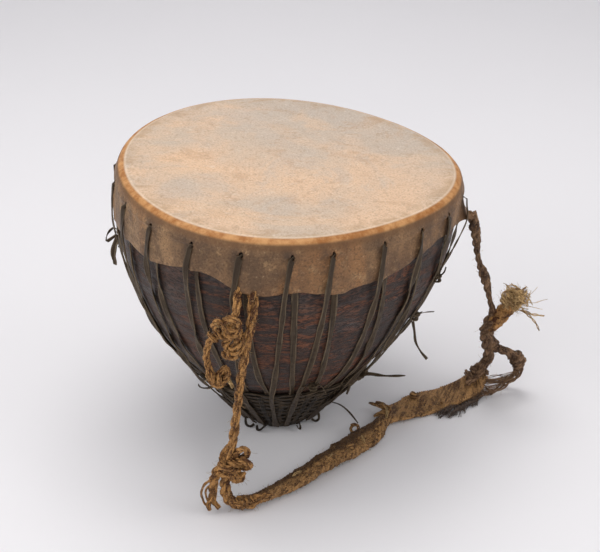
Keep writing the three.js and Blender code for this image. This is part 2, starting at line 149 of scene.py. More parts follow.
class Wire:
    """One output socket of a node tree, with arithmetic written as Python."""

    def __init__(self, graph, socket):
        self.graph, self.socket = graph, socket

    def _join(self, operation, *values):
        many = any(isinstance(v, (tuple, Vector)) or isinstance(v, Wire)
                   and v.socket.type in ("VECTOR", "RGBA") for v in values)
        kind = "ShaderNodeVectorMath" if many else "ShaderNodeMath"
        return self.graph.node(kind, {"operation": operation}, dict(enumerate(values)))

    def __add__(self, other): return self._join("ADD", self, other)
    def __radd__(self, other): return self._join("ADD", other, self)
    def __sub__(self, other): return self._join("SUBTRACT", self, other)
    def __rsub__(self, other): return self._join("SUBTRACT", other, self)
    def __mul__(self, other): return self._join("MULTIPLY", self, other)
    def __rmul__(self, other): return self._join("MULTIPLY", other, self)
    def __truediv__(self, other): return self._join("DIVIDE", self, other)

    def math(self, operation, *others):
        return self._join(operation, self, *others)

    def between(self, low, high, to_low=0.0, to_high=1.0):
        return self.graph.node("ShaderNodeMapRange", {"interpolation_type": "SMOOTHSTEP"}, {
            "Value": self, "From Min": low, "From Max": high, "To Min": to_low, "To Max": to_high})

    def mix(self, first, second):
        """first where this is 0, second where it is 1; both are colours."""
        return self.graph.node("ShaderNodeMix", {"data_type": "RGBA"}, {0: self, 6: first, 7: second}, 2)

    def part(self, index):
        return self.graph.node("ShaderNodeSeparateXYZ", {}, {0: self}, index)

    def sibling(self, index):
        return Wire(self.graph, self.socket.node.outputs[index])


class Graph:
    """A node tree under construction."""

    def __init__(self, tree):
        self.tree = tree

    def node(self, kind, settings=None, values=None, output=0):
        made = self.tree.nodes.new(kind)
        for key, value in (settings or {}).items():
            setattr(made, key, value)
        for key, value in (values or {}).items():
            socket = made.inputs[key]
            if isinstance(value, Wire):
                self.tree.links.new(value.socket, socket)
                continue
            if socket.type == "VECTOR" and isinstance(value, (int, float)):
                value = (value,) * 3
            if socket.type == "RGBA":
                value = (*value, 1.0)[:4]
            socket.default_value = value
        return Wire(self, made.outputs[output])


class Finish(Graph):
    """A material with one Principled shader, and the patterns that several finishes share."""

    def __init__(self, name, **constants):
        self.material = bpy.data.materials.new(name)
        self.material.use_nodes = True
        super().__init__(self.material.node_tree)
        self.shader = self.tree.nodes["Principled BSDF"]
        for key, value in constants.items():
            self.shader.inputs[key.replace("_", " ")].default_value = value
        self.place = self.node("ShaderNodeTexCoord", output=3)

    def noise(self, scale, detail=4.0, roughness=0.55, stretch=(1, 1, 1), distortion=0.0, at=None):
        where = (self.place if at is None else at) * stretch
        return self.node("ShaderNodeTexNoise", {}, {
            "Vector": where, "Scale": scale, "Detail": detail, "Roughness": roughness,
            "Distortion": distortion})

    def attribute(self, name, output=2):
        return self.node("ShaderNodeAttribute", {"attribute_name": name}, {}, output)

    def feed(self, colour, roughness, height=None, depth=0.001):
        surface = {"Base Color": colour, "Roughness": roughness}
        if height is not None:
            surface["Normal"] = self.node("ShaderNodeBump", {}, {
                "Height": height, "Distance": depth, "Strength": 1.0})
        for key, wire in surface.items():
            self.tree.links.new(wire.socket, self.shader.inputs[key])


def layered(colour, *layers):
    """A colour with others laid over it. A layer is (how much of it shows, its colour)."""
    for amount, over in layers:
        colour = amount.mix(colour, over)
    return colour


def paint(piece, finish):
    piece.data.materials.clear()
    piece.data.materials.append(finish.material)


def adzed(azimuth, height, radius):
    """How deep the tool marks are at a place on the wood."""
    spot = place(azimuth, radius, height)
    cuts = noise.noise(Vector((spot.x * 22, spot.y * 22, spot.z * 130)))
    facets = noise.noise(Vector((spot.x * 45, spot.y * 45, spot.z * 60)) + Vector((9, 2, 5)))
    return ADZE_DEPTH * (0.6 * (cuts - 0.6) + 0.4 * (facets - 0.6))


def bowl_ring(height, radius, depth=1.0):
    ring = []
    for k in range(BOWL_SEGMENTS):
        azimuth = 360 * k / BOWL_SEGMENTS
        cut = depth * adzed(azimuth, height, radius)
        ring.append(handmade(place(azimuth, radius + cut, height)))
    return ring


levels = [BOWL_STEP * k for k in range(int(BOWL_OUTSIDE[-1][0] / BOWL_STEP) + 1)]
bowl_rings = [[Vector((0, 0, 0))], bowl_ring(0, BOWL_OUTSIDE[0][1], 0)]
bowl_rings += [bowl_ring(h, bowl_radius(h), min(h / .02, 1)) for h in levels[1:]]
bowl_rings += [bowl_ring(h, r, 0) for h, r in BOWL_LIP]
bowl_rings += [bowl_ring(h, r, ROUGH_INSIDE) for h, r in BOWL_INSIDE]
bowl_rings.append([Vector((0, 0, BOWL_FLOOR))])
bowl = shell("drum_bowl", bowl_rings)

wood = Finish("smoked hardwood", Specular_IOR_Level=0.32)
cuts = wood.noise(26, 5, 0.62, stretch=(1, 1, 5), distortion=0.8)
grain = wood.noise(150, 4, 0.75, stretch=(1, 1, 3), distortion=0.6)
clouds = wood.noise(8, 4, 0.6)
handled = wood.place.part(0).between(-0.16, 0.02, 0.45, 1.0)
red = cuts.between(0.43, 0.60) * grain.between(0.40, 0.60) * clouds.between(0.32, 0.58) * handled
dust = wood.noise(14, 5, 0.6, stretch=(1, 1, 2)).between(0.48, 0.72) * grain.between(0.34, 0.60)
low_wood = wood.place.part(2).between(0.02, 0.24)
ash = wood.noise(17, 5, 0.65, stretch=(1, 1, 3)).between(0.52, 0.66) * grain.between(0.45, 0.60)
bare = layered(
    grain.between(0.34, 0.66).mix((.011, .007, .0065), (.048, .030, .023)),
    (clouds.between(0.45, 0.65) * 0.5, (.040, .021, .014)),
    (ash * 0.6, (.075, .068, .070)),
    (red * 0.9, (.215, .072, .030)),
    (dust * (low_wood * 0.3 + 0.25), (.115, .080, .064)))
wood.feed(bare, cuts.between(0.3, 0.7, 0.42, 0.66), cuts * 0.7 + grain * 0.6, 0.0018)
paint(bowl, wood)
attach(bowl, "root")
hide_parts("bowl")

# ---------------------------------------------------------------------------- the hide head
# One scraped rawhide, soaked, drawn over the lip and left to dry hard. It is slit along its
# skirt for the lacing, which puckers it, its hem is cut by hand, and two ropes drag at it.
# The beaten middle is pale and rubbed, the edge is orange from handling, the skirt is dark. Light and shade
# are painted on too: a highlight inside the lip, shade at the skirt's front and just under the lip, and
# light on its left side.

HIDE = 0.0019
SKIRT_OUT = 0.0054                          # from the bowl's skin to the skirt's outer face
SKIRT_TOP = 0.326
HEM = [(-155, .284), (-120, .292), (-95, .285), (-71, .281), (-59, .286), (-50, .283), (-40, .287),
       (-30, .295), (-22, .294), (-16, .286), (-8, .280), (6, .282), (19, .276), (28, .281),
       (40, .285), (53, .298), (66, .302), (84, .296), (103, .289), (125, .283), (150, .292),
       (178, .286)]
OVER_LIP = [(.3439, .1845), (.3437, .1885), (.3424, .1937), (.3405, .1966), (.3374, .1990),
            (.334, .2002), (.330, .2010)]
DRAGS = [(-9, .005, 6), (84, .007, 5)]      # azimuth, how far out, and how wide
LUG = (85.5, .0105, 4.2)                    # the hide's corner that holds the right rope
LUG_DROP = 0.004                            # how far that corner hangs below the hem
FRONT_HOLES = [-78, -61, -44.5, -28, -12.5, 2.5, 15.5, 34, 50.5, 66, 82]
BACK_HOLES = 11
HOLE_HEIGHT = 0.325
HOLE_WIDTH, HOLE_LENGTH = 0.0048, 0.0078
HIDE_SEGMENTS = 360

holes = list(FRONT_HOLES)
for k in range(1, BACK_HOLES + 1):
    gap = FRONT_HOLES[0] + 360 - FRONT_HOLES[-1]
    holes.append(FRONT_HOLES[-1] + gap * k / (BACK_HOLES + 1))


def hem_height(azimuth):
    first = HEM[0]
    table = HEM + [(first[0] + 360, first[1])]
    turned = (azimuth - first[0]) % 360 + first[0]
    ragged = noise.noise(place(azimuth, 9, 0)) * 0.0022 + noise.noise(place(azimuth, 30, 4)) * 0.0010
    return smooth(table, turned) + ragged


def apart(azimuth, other):
    """Degrees between two azimuths, the short way round."""
    return abs((azimuth - other + 180) % 360 - 180)


def dragged(azimuth, share):
    """How far a rope pulls the skirt out."""
    most = max(out * math.exp(-(apart(azimuth, at) / spread) ** 2) for at, out, spread in DRAGS)
    at, out, spread = LUG
    return most * share ** 2 + out * math.exp(-(apart(azimuth, at) / spread) ** 2) * share ** 5


def nearest_hole(azimuth):
    return min(holes, key=lambda hole: apart(azimuth, hole))


def skirt_relief(azimuth, height):
    """The skirt lies closer to the wood between the thongs, and puckers at each slit."""
    hole = nearest_hole(azimuth)
    aside = (azimuth - hole + 180) % 360 - 180
    ridge = math.exp(-((aside - 1.0) / 2.6) ** 2)
    fold = math.cos(aside * 1.25) * math.exp(-abs(aside) / 4)
    pinch = math.exp(-((height - HOLE_HEIGHT) / .009) ** 2 - (aside / 2.2) ** 2)
    wrinkle = noise.noise(place(azimuth, 4.2, height * 60))
    wrinkle += 0.5 * noise.noise(place(azimuth, 12, height * 150))
    return -.0016 * (1 - ridge) + .0009 * fold - .0014 * pinch + .0008 * wrinkle


def head_height(azimuth, radius):
    """The beaten face: nearly flat, with slow dents and a slight dip in the middle."""
    spot = place(azimuth, radius, 0)
    slow = noise.noise(spot * 9) * 0.0009 + noise.noise(spot * 26 + Vector((5, 5, 5))) * 0.0004
    return .3439 - 0.0012 * (1 - (radius / .19) ** 2) + slow * min(1, (.19 - radius) / .03)


def hide_ring(row, under):
    """One ring of the hide. A row is (share of its stretch, stretch); under is the flesh side."""
    share, stretch = row
    ring = []
    for k in range(HIDE_SEGMENTS):
        azimuth = 360 * k / HIDE_SEGMENTS
        inner = HIDE if under else 0.0
        if stretch == "face":
            radius = OVER_LIP[0][1] * share
            point = place(azimuth, radius, head_height(azimuth, radius) - inner)
        elif stretch == "lip":
            height, radius = OVER_LIP[share]
            down = 1 - share / len(OVER_LIP)
            wave = .0005 * noise.noise(place(azimuth, 3, share))
            point = place(azimuth, radius + wave - inner * (1 - down), height - inner * down)
        else:
            bottom = hem_height(azimuth) - LUG_DROP * math.exp(-(apart(azimuth, LUG[0]) / 3) ** 2)
            height = SKIRT_TOP - share * (SKIRT_TOP - bottom)
            settle = min(share / .12, 1)
            out = SKIRT_OUT + settle * skirt_relief(azimuth, height) + dragged(azimuth, share) - inner
            point = place(azimuth, bowl_radius(height) + out, height)
        ring.append(handmade(point))
    return ring


FACE_ROWS, SKIRT_ROWS = 30, 26
face_rows = [((k / FACE_ROWS) ** 0.8, "face") for k in range(1, FACE_ROWS)]
lip_rows = [(k, "lip") for k in range(len(OVER_LIP))]
skirt_rows = [(k / SKIRT_ROWS, "skirt") for k in range(SKIRT_ROWS + 1)]
outer_rows = face_rows + lip_rows + skirt_rows
outer = [hide_ring(row, False) for row in outer_rows]
inner = [hide_ring(row, True) for row in outer_rows[::-1] if row[1] != "face" or row[0] > .5]
top_middle = handmade(Vector((0, 0, head_height(0, 0))))
hide = shell("drum_hide", [[top_middle], *outer, *inner, [top_middle - Vector((0, 0, HIDE))]][::-1])

stretch_at = KDTree(len(outer) * HIDE_SEGMENTS)
travelled = (outer[0][0] - top_middle).length
for k, ring in enumerate(outer):
    travelled += (ring[0] - outer[k - 1][0]).length if k else 0
    for point in ring:
        stretch_at.insert(point, round(travelled * 1e6))
stretch_at.balance()

slits = bpy.data.meshes.new("slits")
slit_verts, slit_faces = [], []
SLIT_SIDES = 14
for hole in holes:
    start = len(slit_verts)
    for radius in (.1955, .215):
        for k in range(SLIT_SIDES):
            turn = 2 * math.pi * k / SLIT_SIDES
            aside = math.degrees(HOLE_WIDTH / 2 * math.cos(turn) / radius)
            lean = 1 + 0.25 * math.sin(turn + hole)
            slit_verts.append(handmade(place(
                hole + aside * lean, radius, HOLE_HEIGHT + HOLE_LENGTH / 2 * math.sin(turn))))
    slit_faces.append([start + k for k in range(SLIT_SIDES)][::-1])
    slit_faces.append([start + SLIT_SIDES + k for k in range(SLIT_SIDES)])
    for k in range(SLIT_SIDES):
        n = (k + 1) % SLIT_SIDES
        slit_faces.append([start + k, start + n, start + SLIT_SIDES + n, start + SLIT_SIDES + k])
slits.from_pydata(slit_verts, [], slit_faces)
cutter = put("slits", slits)
cut = hide.modifiers.new("Slits", "BOOLEAN")
cut.object = cutter
cut.solver = "EXACT"
hide_mesh = bpy.data.meshes.new_from_object(hide.evaluated_get(bpy.context.evaluated_depsgraph_get()))
hide.modifiers.clear()
hide.data = hide_mesh
bpy.data.objects.remove(cutter)
run, thong_nearness = [], []
for vert in hide_mesh.vertices:
    run.append(stretch_at.find(vert.co)[1] * 1e-6)
    azimuth = math.degrees(math.atan2(vert.co.x - RIM_DRIFT * .85, -vert.co.y))
    near = apart(azimuth, nearest_hole(azimuth) - 1.2)
    thong_nearness.append(math.exp(-(near / 2.4) ** 2) + .5 * math.exp(-((near - 5) / 2.0) ** 2))
mark(hide_mesh, "run", run)
mark(hide_mesh, "thong_nearness", thong_nearness)

skin = Finish("beaten rawhide", Specular_IOR_Level=0.32)
along = skin.attribute("run")
blotch = skin.noise(7, 5, 0.55, distortion=0.4)
speck = skin.noise(60, 6, 0.7)
fine = skin.noise(420, 3, 0.6)
veins = skin.noise(26, 6, 0.72, stretch=(1, 1.4, 1), distortion=1.2)
back = skin.place.part(1)
drift = skin.noise(5.5, 5, 0.62, stretch=(1, 1.5, 1), distortion=1.0)
cool = (back + skin.place.part(0) * 0.45).between(-0.05, 0.20)
smoke = skin.noise(11, 6, 0.68, distortion=0.8).between(0.50, 0.60)
rub = along.between(0.172, 0.190) * veins.between(0.40, 0.58)
# Painted highlight: a thin pale line on the face just inside the amber lip.
painted_sheen = along.between(0.1900, 0.1925) * along.between(0.1930, 0.1950, 1.0, 0.0)
amber = speck.between(0.35, 0.65).mix((.34, .130, .030), (.58, .30, .115))
face = layered(
    blotch.between(0.40, 0.60).mix((.560, .440, .335), (.690, .475, .315)),
    (cool * drift.between(0.32, 0.56) * 0.7, (.455, .400, .345)),
    (smoke * 0.40, (.490, .425, .365)),
    (drift.between(0.52, 0.64) * 0.40, (.74, .480, .285)),
    (veins.between(0.52, 0.66) * 0.40, (.46, .285, .17)),
    (speck.between(0.55, 0.68) * 0.40, (.38, .260, .17)),
    (speck.between(0.24, 0.42, 1.0, 0.0) * 0.40, (.78, .68, .57)),
    (fine.between(0.50, 0.66) * 0.50, (.36, .255, .175)),
    (fine.between(0.30, 0.44, 1.0, 0.0) * 0.30, (.82, .74, .64)),
    (rub * 0.6, (.42, .28, .165)),
    (painted_sheen * 0.35, (.82, .66, .50)),
    (along.between(0.1925, 0.1955), amber))
# Painted light: the skirt is made lighter on its left side.
painted_light_left = skin.place.part(0).between(-0.17, -0.08, 1.0, 0.0)
smears = skin.noise(30, 6, 0.7, stretch=(1, 1, .5)).between(0.46, 0.60)
# Darker on the skirt beside each thong.
darker_by_thongs = skin.attribute("thong_nearness") * skin.noise(45, 5, 0.7).between(0.35, 0.60)
ochre = layered(
    blotch.between(0.40, 0.58).mix((.185, .094, .042), (.320, .180, .085)),
    # Painted shade: the skirt is made darker towards the front.
    (back.between(-0.21, -0.10, 1.0, 0.0) * 0.40, (.105, .058, .031)),
    (painted_light_left * 0.6, (.40, .255, .135)),
    (drift.between(0.50, 0.62) * 0.5, (.36, .165, .060)),
    (smears * 0.65, (.105, .060, .034)),
    (speck.between(0.54, 0.68) * 0.65, (.44, .27, .130)),
    (fine.between(0.50, 0.64) * 0.60, (.085, .048, .026)),
    (fine.between(0.26, 0.40, 1.0, 0.0) * 0.5, (.56, .39, .23)),
    (darker_by_thongs * 0.75, (.070, .042, .026)),
    # Painted shade: a dark band across the top of the skirt, just under the lip roll.
    (along.between(0.205, 0.213, 1.0, 0.0) * 0.65, (.165, .078, .030)))
hide_colour = along.between(0.2000, 0.2040).mix(face, ochre)
wrinkles = veins * 0.35 + speck * 0.45 + fine * 0.25
skin.feed(hide_colour, blotch.between(0.3, 0.7, 0.50, 0.66), wrinkles, 0.0024)
paint(hide, skin)
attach(hide, "root")
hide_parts("drumhead")

# ---------------------------------------------------------------------------- the foot ring
# A ring wound like a basket from strips of rawhide, which hugs the narrow foot of the bowl
# and gives the lacing its hold. Level windings show at its top, upright wraps cross them,
# and twisted ends stick out at the bottom.

RING_TOP, RING_BOTTOM = 0.097, 0.014        # heights of the bowl's skin under the ring
RING_BORE, RING_FOOT = 0.031, 0.044
CORE_SEGMENTS, CORE_STEPS = 96, 20
STRIP_WIDTH, STRIP = 0.0058, 0.0019
WINDINGS = 16
UPRIGHTS = 36
WEAVE = 0.0008
TONES = 17                                  # neighbouring strips differ in shade


def ring_thickness(height):
    share = (height - RING_BOTTOM) / (RING_TOP - RING_BOTTOM)
    return .0085 + (.005 - .0085) * share


class Recipe(Graph):
    """A Geometry Nodes tree with named inputs, for shapes that follow a line or a surface."""

    def __init__(self, name, **sizes):
        super().__init__(bpy.data.node_groups.new(name, "GeometryNodeTree"))
        face = self.tree.interface
        face.new_socket("Result", in_out="OUTPUT", socket_type="NodeSocketGeometry")
        face.new_socket("Guide", in_out="INPUT", socket_type="NodeSocketGeometry")
        for key, value in sizes.items():
            kind = "NodeSocketInt" if isinstance(value, int) else "NodeSocketFloat"
            face.new_socket(key, in_out="INPUT", socket_type=kind).default_value = value
        face.new_socket("Finish", in_out="INPUT", socket_type="NodeSocketMaterial")
        self.entry = self.tree.nodes.new("NodeGroupInput")

    def given(self, key):
        return Wire(self, self.entry.outputs[key])

    def named(self, key, kind="FLOAT"):
        return self.node("GeometryNodeInputNamedAttribute", {"data_type": kind}, {"Name": key})

    def keep(self, geometry, key, value):
        return self.node("GeometryNodeStoreNamedAttribute", {"data_type": "FLOAT", "domain": "POINT"}, {
            "Geometry": geometry, "Name": key, "Value": value})

    def shift(self, geometry, offset):
        return self.node("GeometryNodeSetPosition", {}, {"Geometry": geometry, "Offset": offset})

    def guide_curves(self):
        return self.node("GeometryNodeMeshToCurve", {}, {"Mesh": self.given("Guide")})

    def copies(self, curves, amount):
        """Each curve this many times over. The number of the copy is its sibling 1."""
        return self.node("GeometryNodeDuplicateElements", {"domain": "SPLINE"}, {
            "Geometry": curves, "Amount": amount})

    def circle(self, sides, radius):
        return self.node("GeometryNodeCurvePrimitiveCircle", {}, {"Resolution": sides, "Radius": radius})

    def swept(self, curves, section, scale=1.0):
        return self.node("GeometryNodeCurveToMesh", {}, {
            "Curve": curves, "Profile Curve": section, "Scale": scale, "Fill Caps": True})

    def chance(self, low, high, seed, number=None):
        """A random value, drawn for each number or, without one, for each point."""
        drawn_for = {} if number is None else {7: number}
        return self.node("FunctionNodeRandomValue", {"data_type": "FLOAT"}, {
            2: low, 3: high, **drawn_for, 8: seed}, 1)

    def done(self, geometry):
        soft = self.node("GeometryNodeSetShadeSmooth", {}, {"Geometry": geometry})
        real = self.node("GeometryNodeRealizeInstances", {}, {"Geometry": soft})
        last = self.node("GeometryNodeSetMaterial", {}, {"Geometry": real, "Material": self.given("Finish")})
        leave = self.tree.nodes.new("NodeGroupOutput")
        self.tree.links.new(last.socket, leave.inputs["Result"])


def grown(recipe, guide, name, finish, **sizes):
    """Runs a recipe on a guide mesh, and keeps the result as a plain mesh piece."""
    piece = put(name, guide)
    step = piece.modifiers.new("Shape", "NODES")
    step.node_group = recipe.tree
    items = [item for item in recipe.tree.interface.items_tree if item.in_out == "INPUT"]
    sockets = {item.name: item.identifier for item in items}
    for key, value in {**sizes, "Finish": finish.material}.items():
        step[sockets[key]] = value
    made = bpy.data.meshes.new_from_object(piece.evaluated_get(bpy.context.evaluated_depsgraph_get()))
    piece.modifiers.remove(step)
    piece.data = made
    made.name = name
    return piece


def guide_lines(lines):
    """Lines of (point, outward, girth) as one mesh of edges that a recipe can follow."""
    points = [spot for line in lines for spot in line]
    edges, start = [], 0
    for line in lines:
        edges += [(start + k, start + k + 1) for k in range(len(line) - 1)]
        start += len(line)
    mesh = bpy.data.meshes.new("guide")
    mesh.from_pydata([spot[0] for spot in points], edges, [])
    mark(mesh, "outward", [value for spot in points for value in spot[1]], "FLOAT_VECTOR")
    mark(mesh, "girth", [spot[2] for spot in points])
    mark(mesh, "tone", [k % TONES / TONES for k, line in enumerate(lines) for _ in line])
    return mesh


def sampled(points, step):
    """Evenly spaced points on a smooth curve through the points given."""
    points = [Vector(p) for p in points]
    padded = [2 * points[0] - points[1], *points, 2 * points[-1] - points[-2]]
    fine = []
    for a, b, c, d in zip(padded, padded[1:], padded[2:], padded[3:]):
        for k in range(12):
            t = k / 12
            fine.append(0.5 * (2 * b + (c - a) * t + (2 * a - 5 * b + 4 * c - d) * t * t
                               + (3 * b - a - 3 * c + d) * t ** 3))
    fine.append(points[-1])
    travel = [0.0]
    for a, b in zip(fine, fine[1:]):
        travel.append(travel[-1] + (b - a).length)
    count = max(2, round(travel[-1] / step))
    even, k = [], 0
    for i in range(count + 1):
        goal = travel[-1] * i / count
        while k < len(fine) - 2 and travel[k + 1] < goal:
            k += 1
        share = (goal - travel[k]) / max(travel[k + 1] - travel[k], 1e-9)
        even.append(fine[k].lerp(fine[k + 1], min(max(share, 0), 1)))
    return even


def heading(points, k):
    """The direction in which a line of points runs at point k."""
    return (points[min(k + 1, len(points) - 1)] - points[max(k - 1, 0)]).normalized()


def rolled(points):
    """A direction square to the line at each point, which never twists round it."""
    ahead = (points[1] - points[0]).normalized()
    out = Vector((0, 0, 1)) if abs(ahead.z) < .9 else Vector((0, -1, 0))
    directions = []
    for k in range(len(points)):
        ahead = heading(points, k)
        out = (out - ahead * out.dot(ahead)).normalized()
        directions.append(out.copy())
    return directions


strip = Recipe("Rawhide strip", Width=.0062, Thickness=.0022, Groove=.35)
line = strip.guide_curves()
line = strip.keep(line, "along", strip.node("GeometryNodeSplineParameter", output=1))
line = strip.node("GeometryNodeSetCurveNormal", {"mode": "FREE"}, {
    "Curve": line, "Normal": strip.named("outward", "FLOAT_VECTOR")})
section = strip.circle(12, 1.0)
at = strip.node("GeometryNodeInputPosition")
hollow = 1 - strip.given("Groove") * (1 - at.part(1) * at.part(1))
section = strip.keep(section, "side", at.part(1))
flat = strip.node("ShaderNodeCombineXYZ", {}, {
    0: at.part(0) * hollow * strip.given("Thickness") * 0.5, 1: at.part(1) * strip.given("Width") * 0.5})
section = strip.node("GeometryNodeSetPosition", {}, {"Geometry": section, "Position": flat})
strip.done(strip.swept(line, section, strip.named("girth")))

ring_levels = [RING_BOTTOM + (RING_TOP - RING_BOTTOM) * k / CORE_STEPS for k in range(CORE_STEPS + 1)]
core_rows = [(0.0, RING_BORE), (0.0, RING_FOOT - .006), (.0022, RING_FOOT - .002)]
core_rows += [off_bowl(h, ring_thickness(h) - .0016) for h in ring_levels]
core_rows += [off_bowl(h, .0005) for h in ring_levels[::-1]]
core_rows += [(.009, .0388), (0.0, RING_BORE)]
ring_core = shell("ring_core", [
    [handmade(place(360 * k / CORE_SEGMENTS, radius, height)) for k in range(CORE_SEGMENTS)]
    for height, radius in core_rows])

draw = random.Random(11)
ring_lines = []
for k in range(WINDINGS):
    base = RING_BOTTOM + .004 + (RING_TOP - RING_BOTTOM - .005) * k / (WINDINGS - 1)
    turn, shiver = draw.uniform(0, 360), draw.uniform(0, 9)
    windings = []
    for n in range(201):
        azimuth = turn + 365 * n / 200
        height = base + .0016 * noise.noise(place(azimuth, 1.4, shiver)) + .003 * (n / 200 - .5)
        lift = WEAVE * math.sin(math.radians(azimuth) * UPRIGHTS / 2 + math.pi * k)
        spot = on_drum(azimuth, height, ring_thickness(height) - .0012 + lift)
        outward = on_drum(azimuth, height, .02) - on_drum(azimuth, height, 0)
        windings.append((spot, outward.normalized(), 1 + .2 * noise.noise(place(azimuth, 3, k))))
    ring_lines.append(windings)
for k in range(UPRIGHTS):
    azimuth = 360 * k / UPRIGHTS + draw.uniform(-2, 2)
    slant, top = draw.uniform(-7, 7), draw.choice((.097, .097, .088, .074))
    uprights = []
    for n in range(41):
        share = n / 40
        height = top + (RING_BOTTOM - .002 - top) * share
        lift = -WEAVE * math.cos(share * math.pi * WINDINGS + math.pi * k)
        where = azimuth + slant * (1 - share) + 1.5 * noise.noise(Vector((share * 3, k, 0)))
        over = .0004 if top > .09 else -.0004
        spot = on_drum(where, height, ring_thickness(height) - .0006 + over + lift)
        outward = on_drum(where, height, .02) - on_drum(where, height, 0)
        uprights.append((spot, outward.normalized(), 1.05 + .3 * noise.noise(Vector((share * 5, k, 3)))))
    ring_lines.append(uprights)

strips = Finish("wound rawhide strips", Specular_IOR_Level=0.22)
worn = strips.noise(90, 5, 0.65)
patch = strips.noise(22, 4, 0.6)
# The strips' raised edges, where a highlight is painted.
ridge = strips.attribute("side").math("ABSOLUTE").between(0.55, 1.0)
tone = strips.attribute("tone")
dark = layered(
    tone.mix((.013, .0085, .005), (.046, .030, .017)),
    (patch.between(0.46, 0.66) * 0.55, (.075, .050, .028)),
    # Painted highlight: the raised edges of the strips are made paler in patches.
    (ridge * worn.between(0.42, 0.60) * 0.55, (.140, .102, .064)),
    (worn.between(0.32, 0.48, 1.0, 0.0) * 0.75, (.009, .006, .0045)))
strips.feed(dark, worn.between(0.3, 0.7, 0.48, 0.72), worn + patch * 0.4, 0.0009)
foot_ring = grown(strip, guide_lines(ring_lines), "foot_ring_winding", strips,
                  Width=STRIP_WIDTH, Thickness=STRIP, Groove=.25)
for piece in (ring_core, foot_ring):
    paint(piece, strips)
    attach(piece, "root")
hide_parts("foot_ring")

# ---------------------------------------------------------------------------- the lacing
# Lengths of twisted rawhide thong join the hide to the ring. Each goes up over the skirt, in
# through a slit, down behind the hide and back to the ring, and shares its place there with
# the next stitch. Each length is knotted off on its last strand, with its ends left long.

THONG_WIDTH, THONG = 0.0068, 0.0032
THONG_STEP, THONG_ROLL = 0.004, 34          # the roll is in degrees, to either side
ON_WOOD, ON_RING, ON_HIDE = .0021, .0024, .0070
TUCKED = -.0040                             # a strand that runs under the ring's winding
PAIR_SPREAD, RING_SPREAD, END_SPREAD = 1.1, 1.3, 4.6
STRAND_HEIGHTS = [.016, .050, .098, .140, .185, .235]
RING_LEVELS = 3
HEM_MARGIN = 0.005
LENGTH_ENDS = [6, 8, 9, 15, 21]             # the last hole of each length of thong


def meeting_place(i):
    """The azimuth at the ring where stitch i meets the next one."""
    count = len(holes)
    ahead = holes[(i + 1) % count] + (360 if i + 1 >= count else 0)
    return (holes[i % count] + (ahead - 360 if i < 0 else ahead)) / 2


def strand(top, foot, on_hide, tucked):
    """Places of one strand from the ring up: (azimuth, height, distance off the wood).

    A tucked strand runs under the ring's winding, and the others run over it.
    """
    start = off_bowl(STRAND_HEIGHTS[RING_LEVELS - 1], 0)

    def reach(height):
        return math.hypot(bowl_radius(height) - start[1], height - start[0])

    lean = (foot - top) * start[1]
    last = hem_height(top) - HEM_MARGIN if on_hide else .282
    places = []
    for level, height in enumerate([*STRAND_HEIGHTS, last]):
        left = 1 - reach(height) / reach(HOLE_HEIGHT - .0045)
        azimuth = foot if level < RING_LEVELS else top + lean * left / bowl_radius(height)
        distance = ON_WOOD
        if level < RING_LEVELS:
            distance = ring_thickness(min(height, RING_TOP)) + (TUCKED if tucked else ON_RING)
        elif on_hide and level == len(STRAND_HEIGHTS):
            distance = ON_HIDE + (0.6 if azimuth > 75 else 0.95) * dragged(azimuth, 1)
        places.append((azimuth, height, distance))
    return places


def thong_line(places, seed):
    """A thong through places on the drum, rolled a little to and fro as twisted rawhide is."""
    spots = sampled([on_drum(*p) for p in places], THONG_STEP)
    centres = sampled([on_drum(p[0], p[1], p[2] - .03) for p in places], THONG_STEP)
    line = []
    for k, spot in enumerate(spots):
        inside = centres[min(k * len(centres) // len(spots), len(centres) - 1)]
        outward = (spot - inside).normalized()
        ahead = heading(spots, k)
        roll = math.radians(THONG_ROLL) * noise.noise(Vector((k * .11, seed, 0))) * 2
        outward = outward * math.cos(roll) + ahead.cross(outward) * math.sin(roll)
        line.append((spot, outward, 1 + .28 * noise.noise(Vector((k * .16, seed, 5)))))
    return line


def stitch(i):
    azimuth = holes[i]
    before = END_SPREAD if (i - 1) % len(holes) in LENGTH_ENDS else RING_SPREAD
    after = END_SPREAD if i in LENGTH_ENDS else RING_SPREAD
    up = strand(azimuth - PAIR_SPREAD, meeting_place(i - 1) + before, True, i % 3 == 1)
    down = strand(azimuth + PAIR_SPREAD, meeting_place(i) - after, False, i % 5 != 3)
    over = ON_HIDE + .25 * dragged(azimuth, 1)
    bend = [(azimuth - .5, .3165, over), (azimuth - .2, .3222, over - .0006), (azimuth, .3238, .0045),
            (azimuth + .3, .3205, ON_WOOD)]
    return thong_line([*up, *bend, *down[::-1]], i * 3.7)


def free_line(points, seed, girth=1.0, step=.003, taper=0.0):
    """A loose end that leaves the drum, through points in space."""
    spots = sampled(points, step)
    line = []
    for k, (spot, outward) in enumerate(zip(spots, rolled(spots))):
        ahead = heading(spots, k)
        roll = 1.6 * noise.noise(Vector((k * .13, seed, 2)))
        outward = outward * math.cos(roll) + ahead.cross(outward) * math.sin(roll)
        thin = 1 - taper * (k / (len(spots) - 1)) ** 3
        line.append((spot, outward, thin * girth * (1 + .3 * noise.noise(Vector((k * .2, seed, 7))))))
    return line


def coil_points(centre, axis, radius, turns, rise, start=0.0):
    """Points of a coil round an axis."""
    axis = Vector(axis).normalized()
    side = axis.orthogonal().normalized()
    front = axis.cross(side)
    count = max(4, int(turns * 8))
    points = []
    for k in range(count + 1):
        angle = start + 2 * math.pi * turns * k / count
        points.append(Vector(centre) + axis * rise * (k / count - .5)
                      + radius * (side * math.cos(angle) + front * math.sin(angle)))
    return points


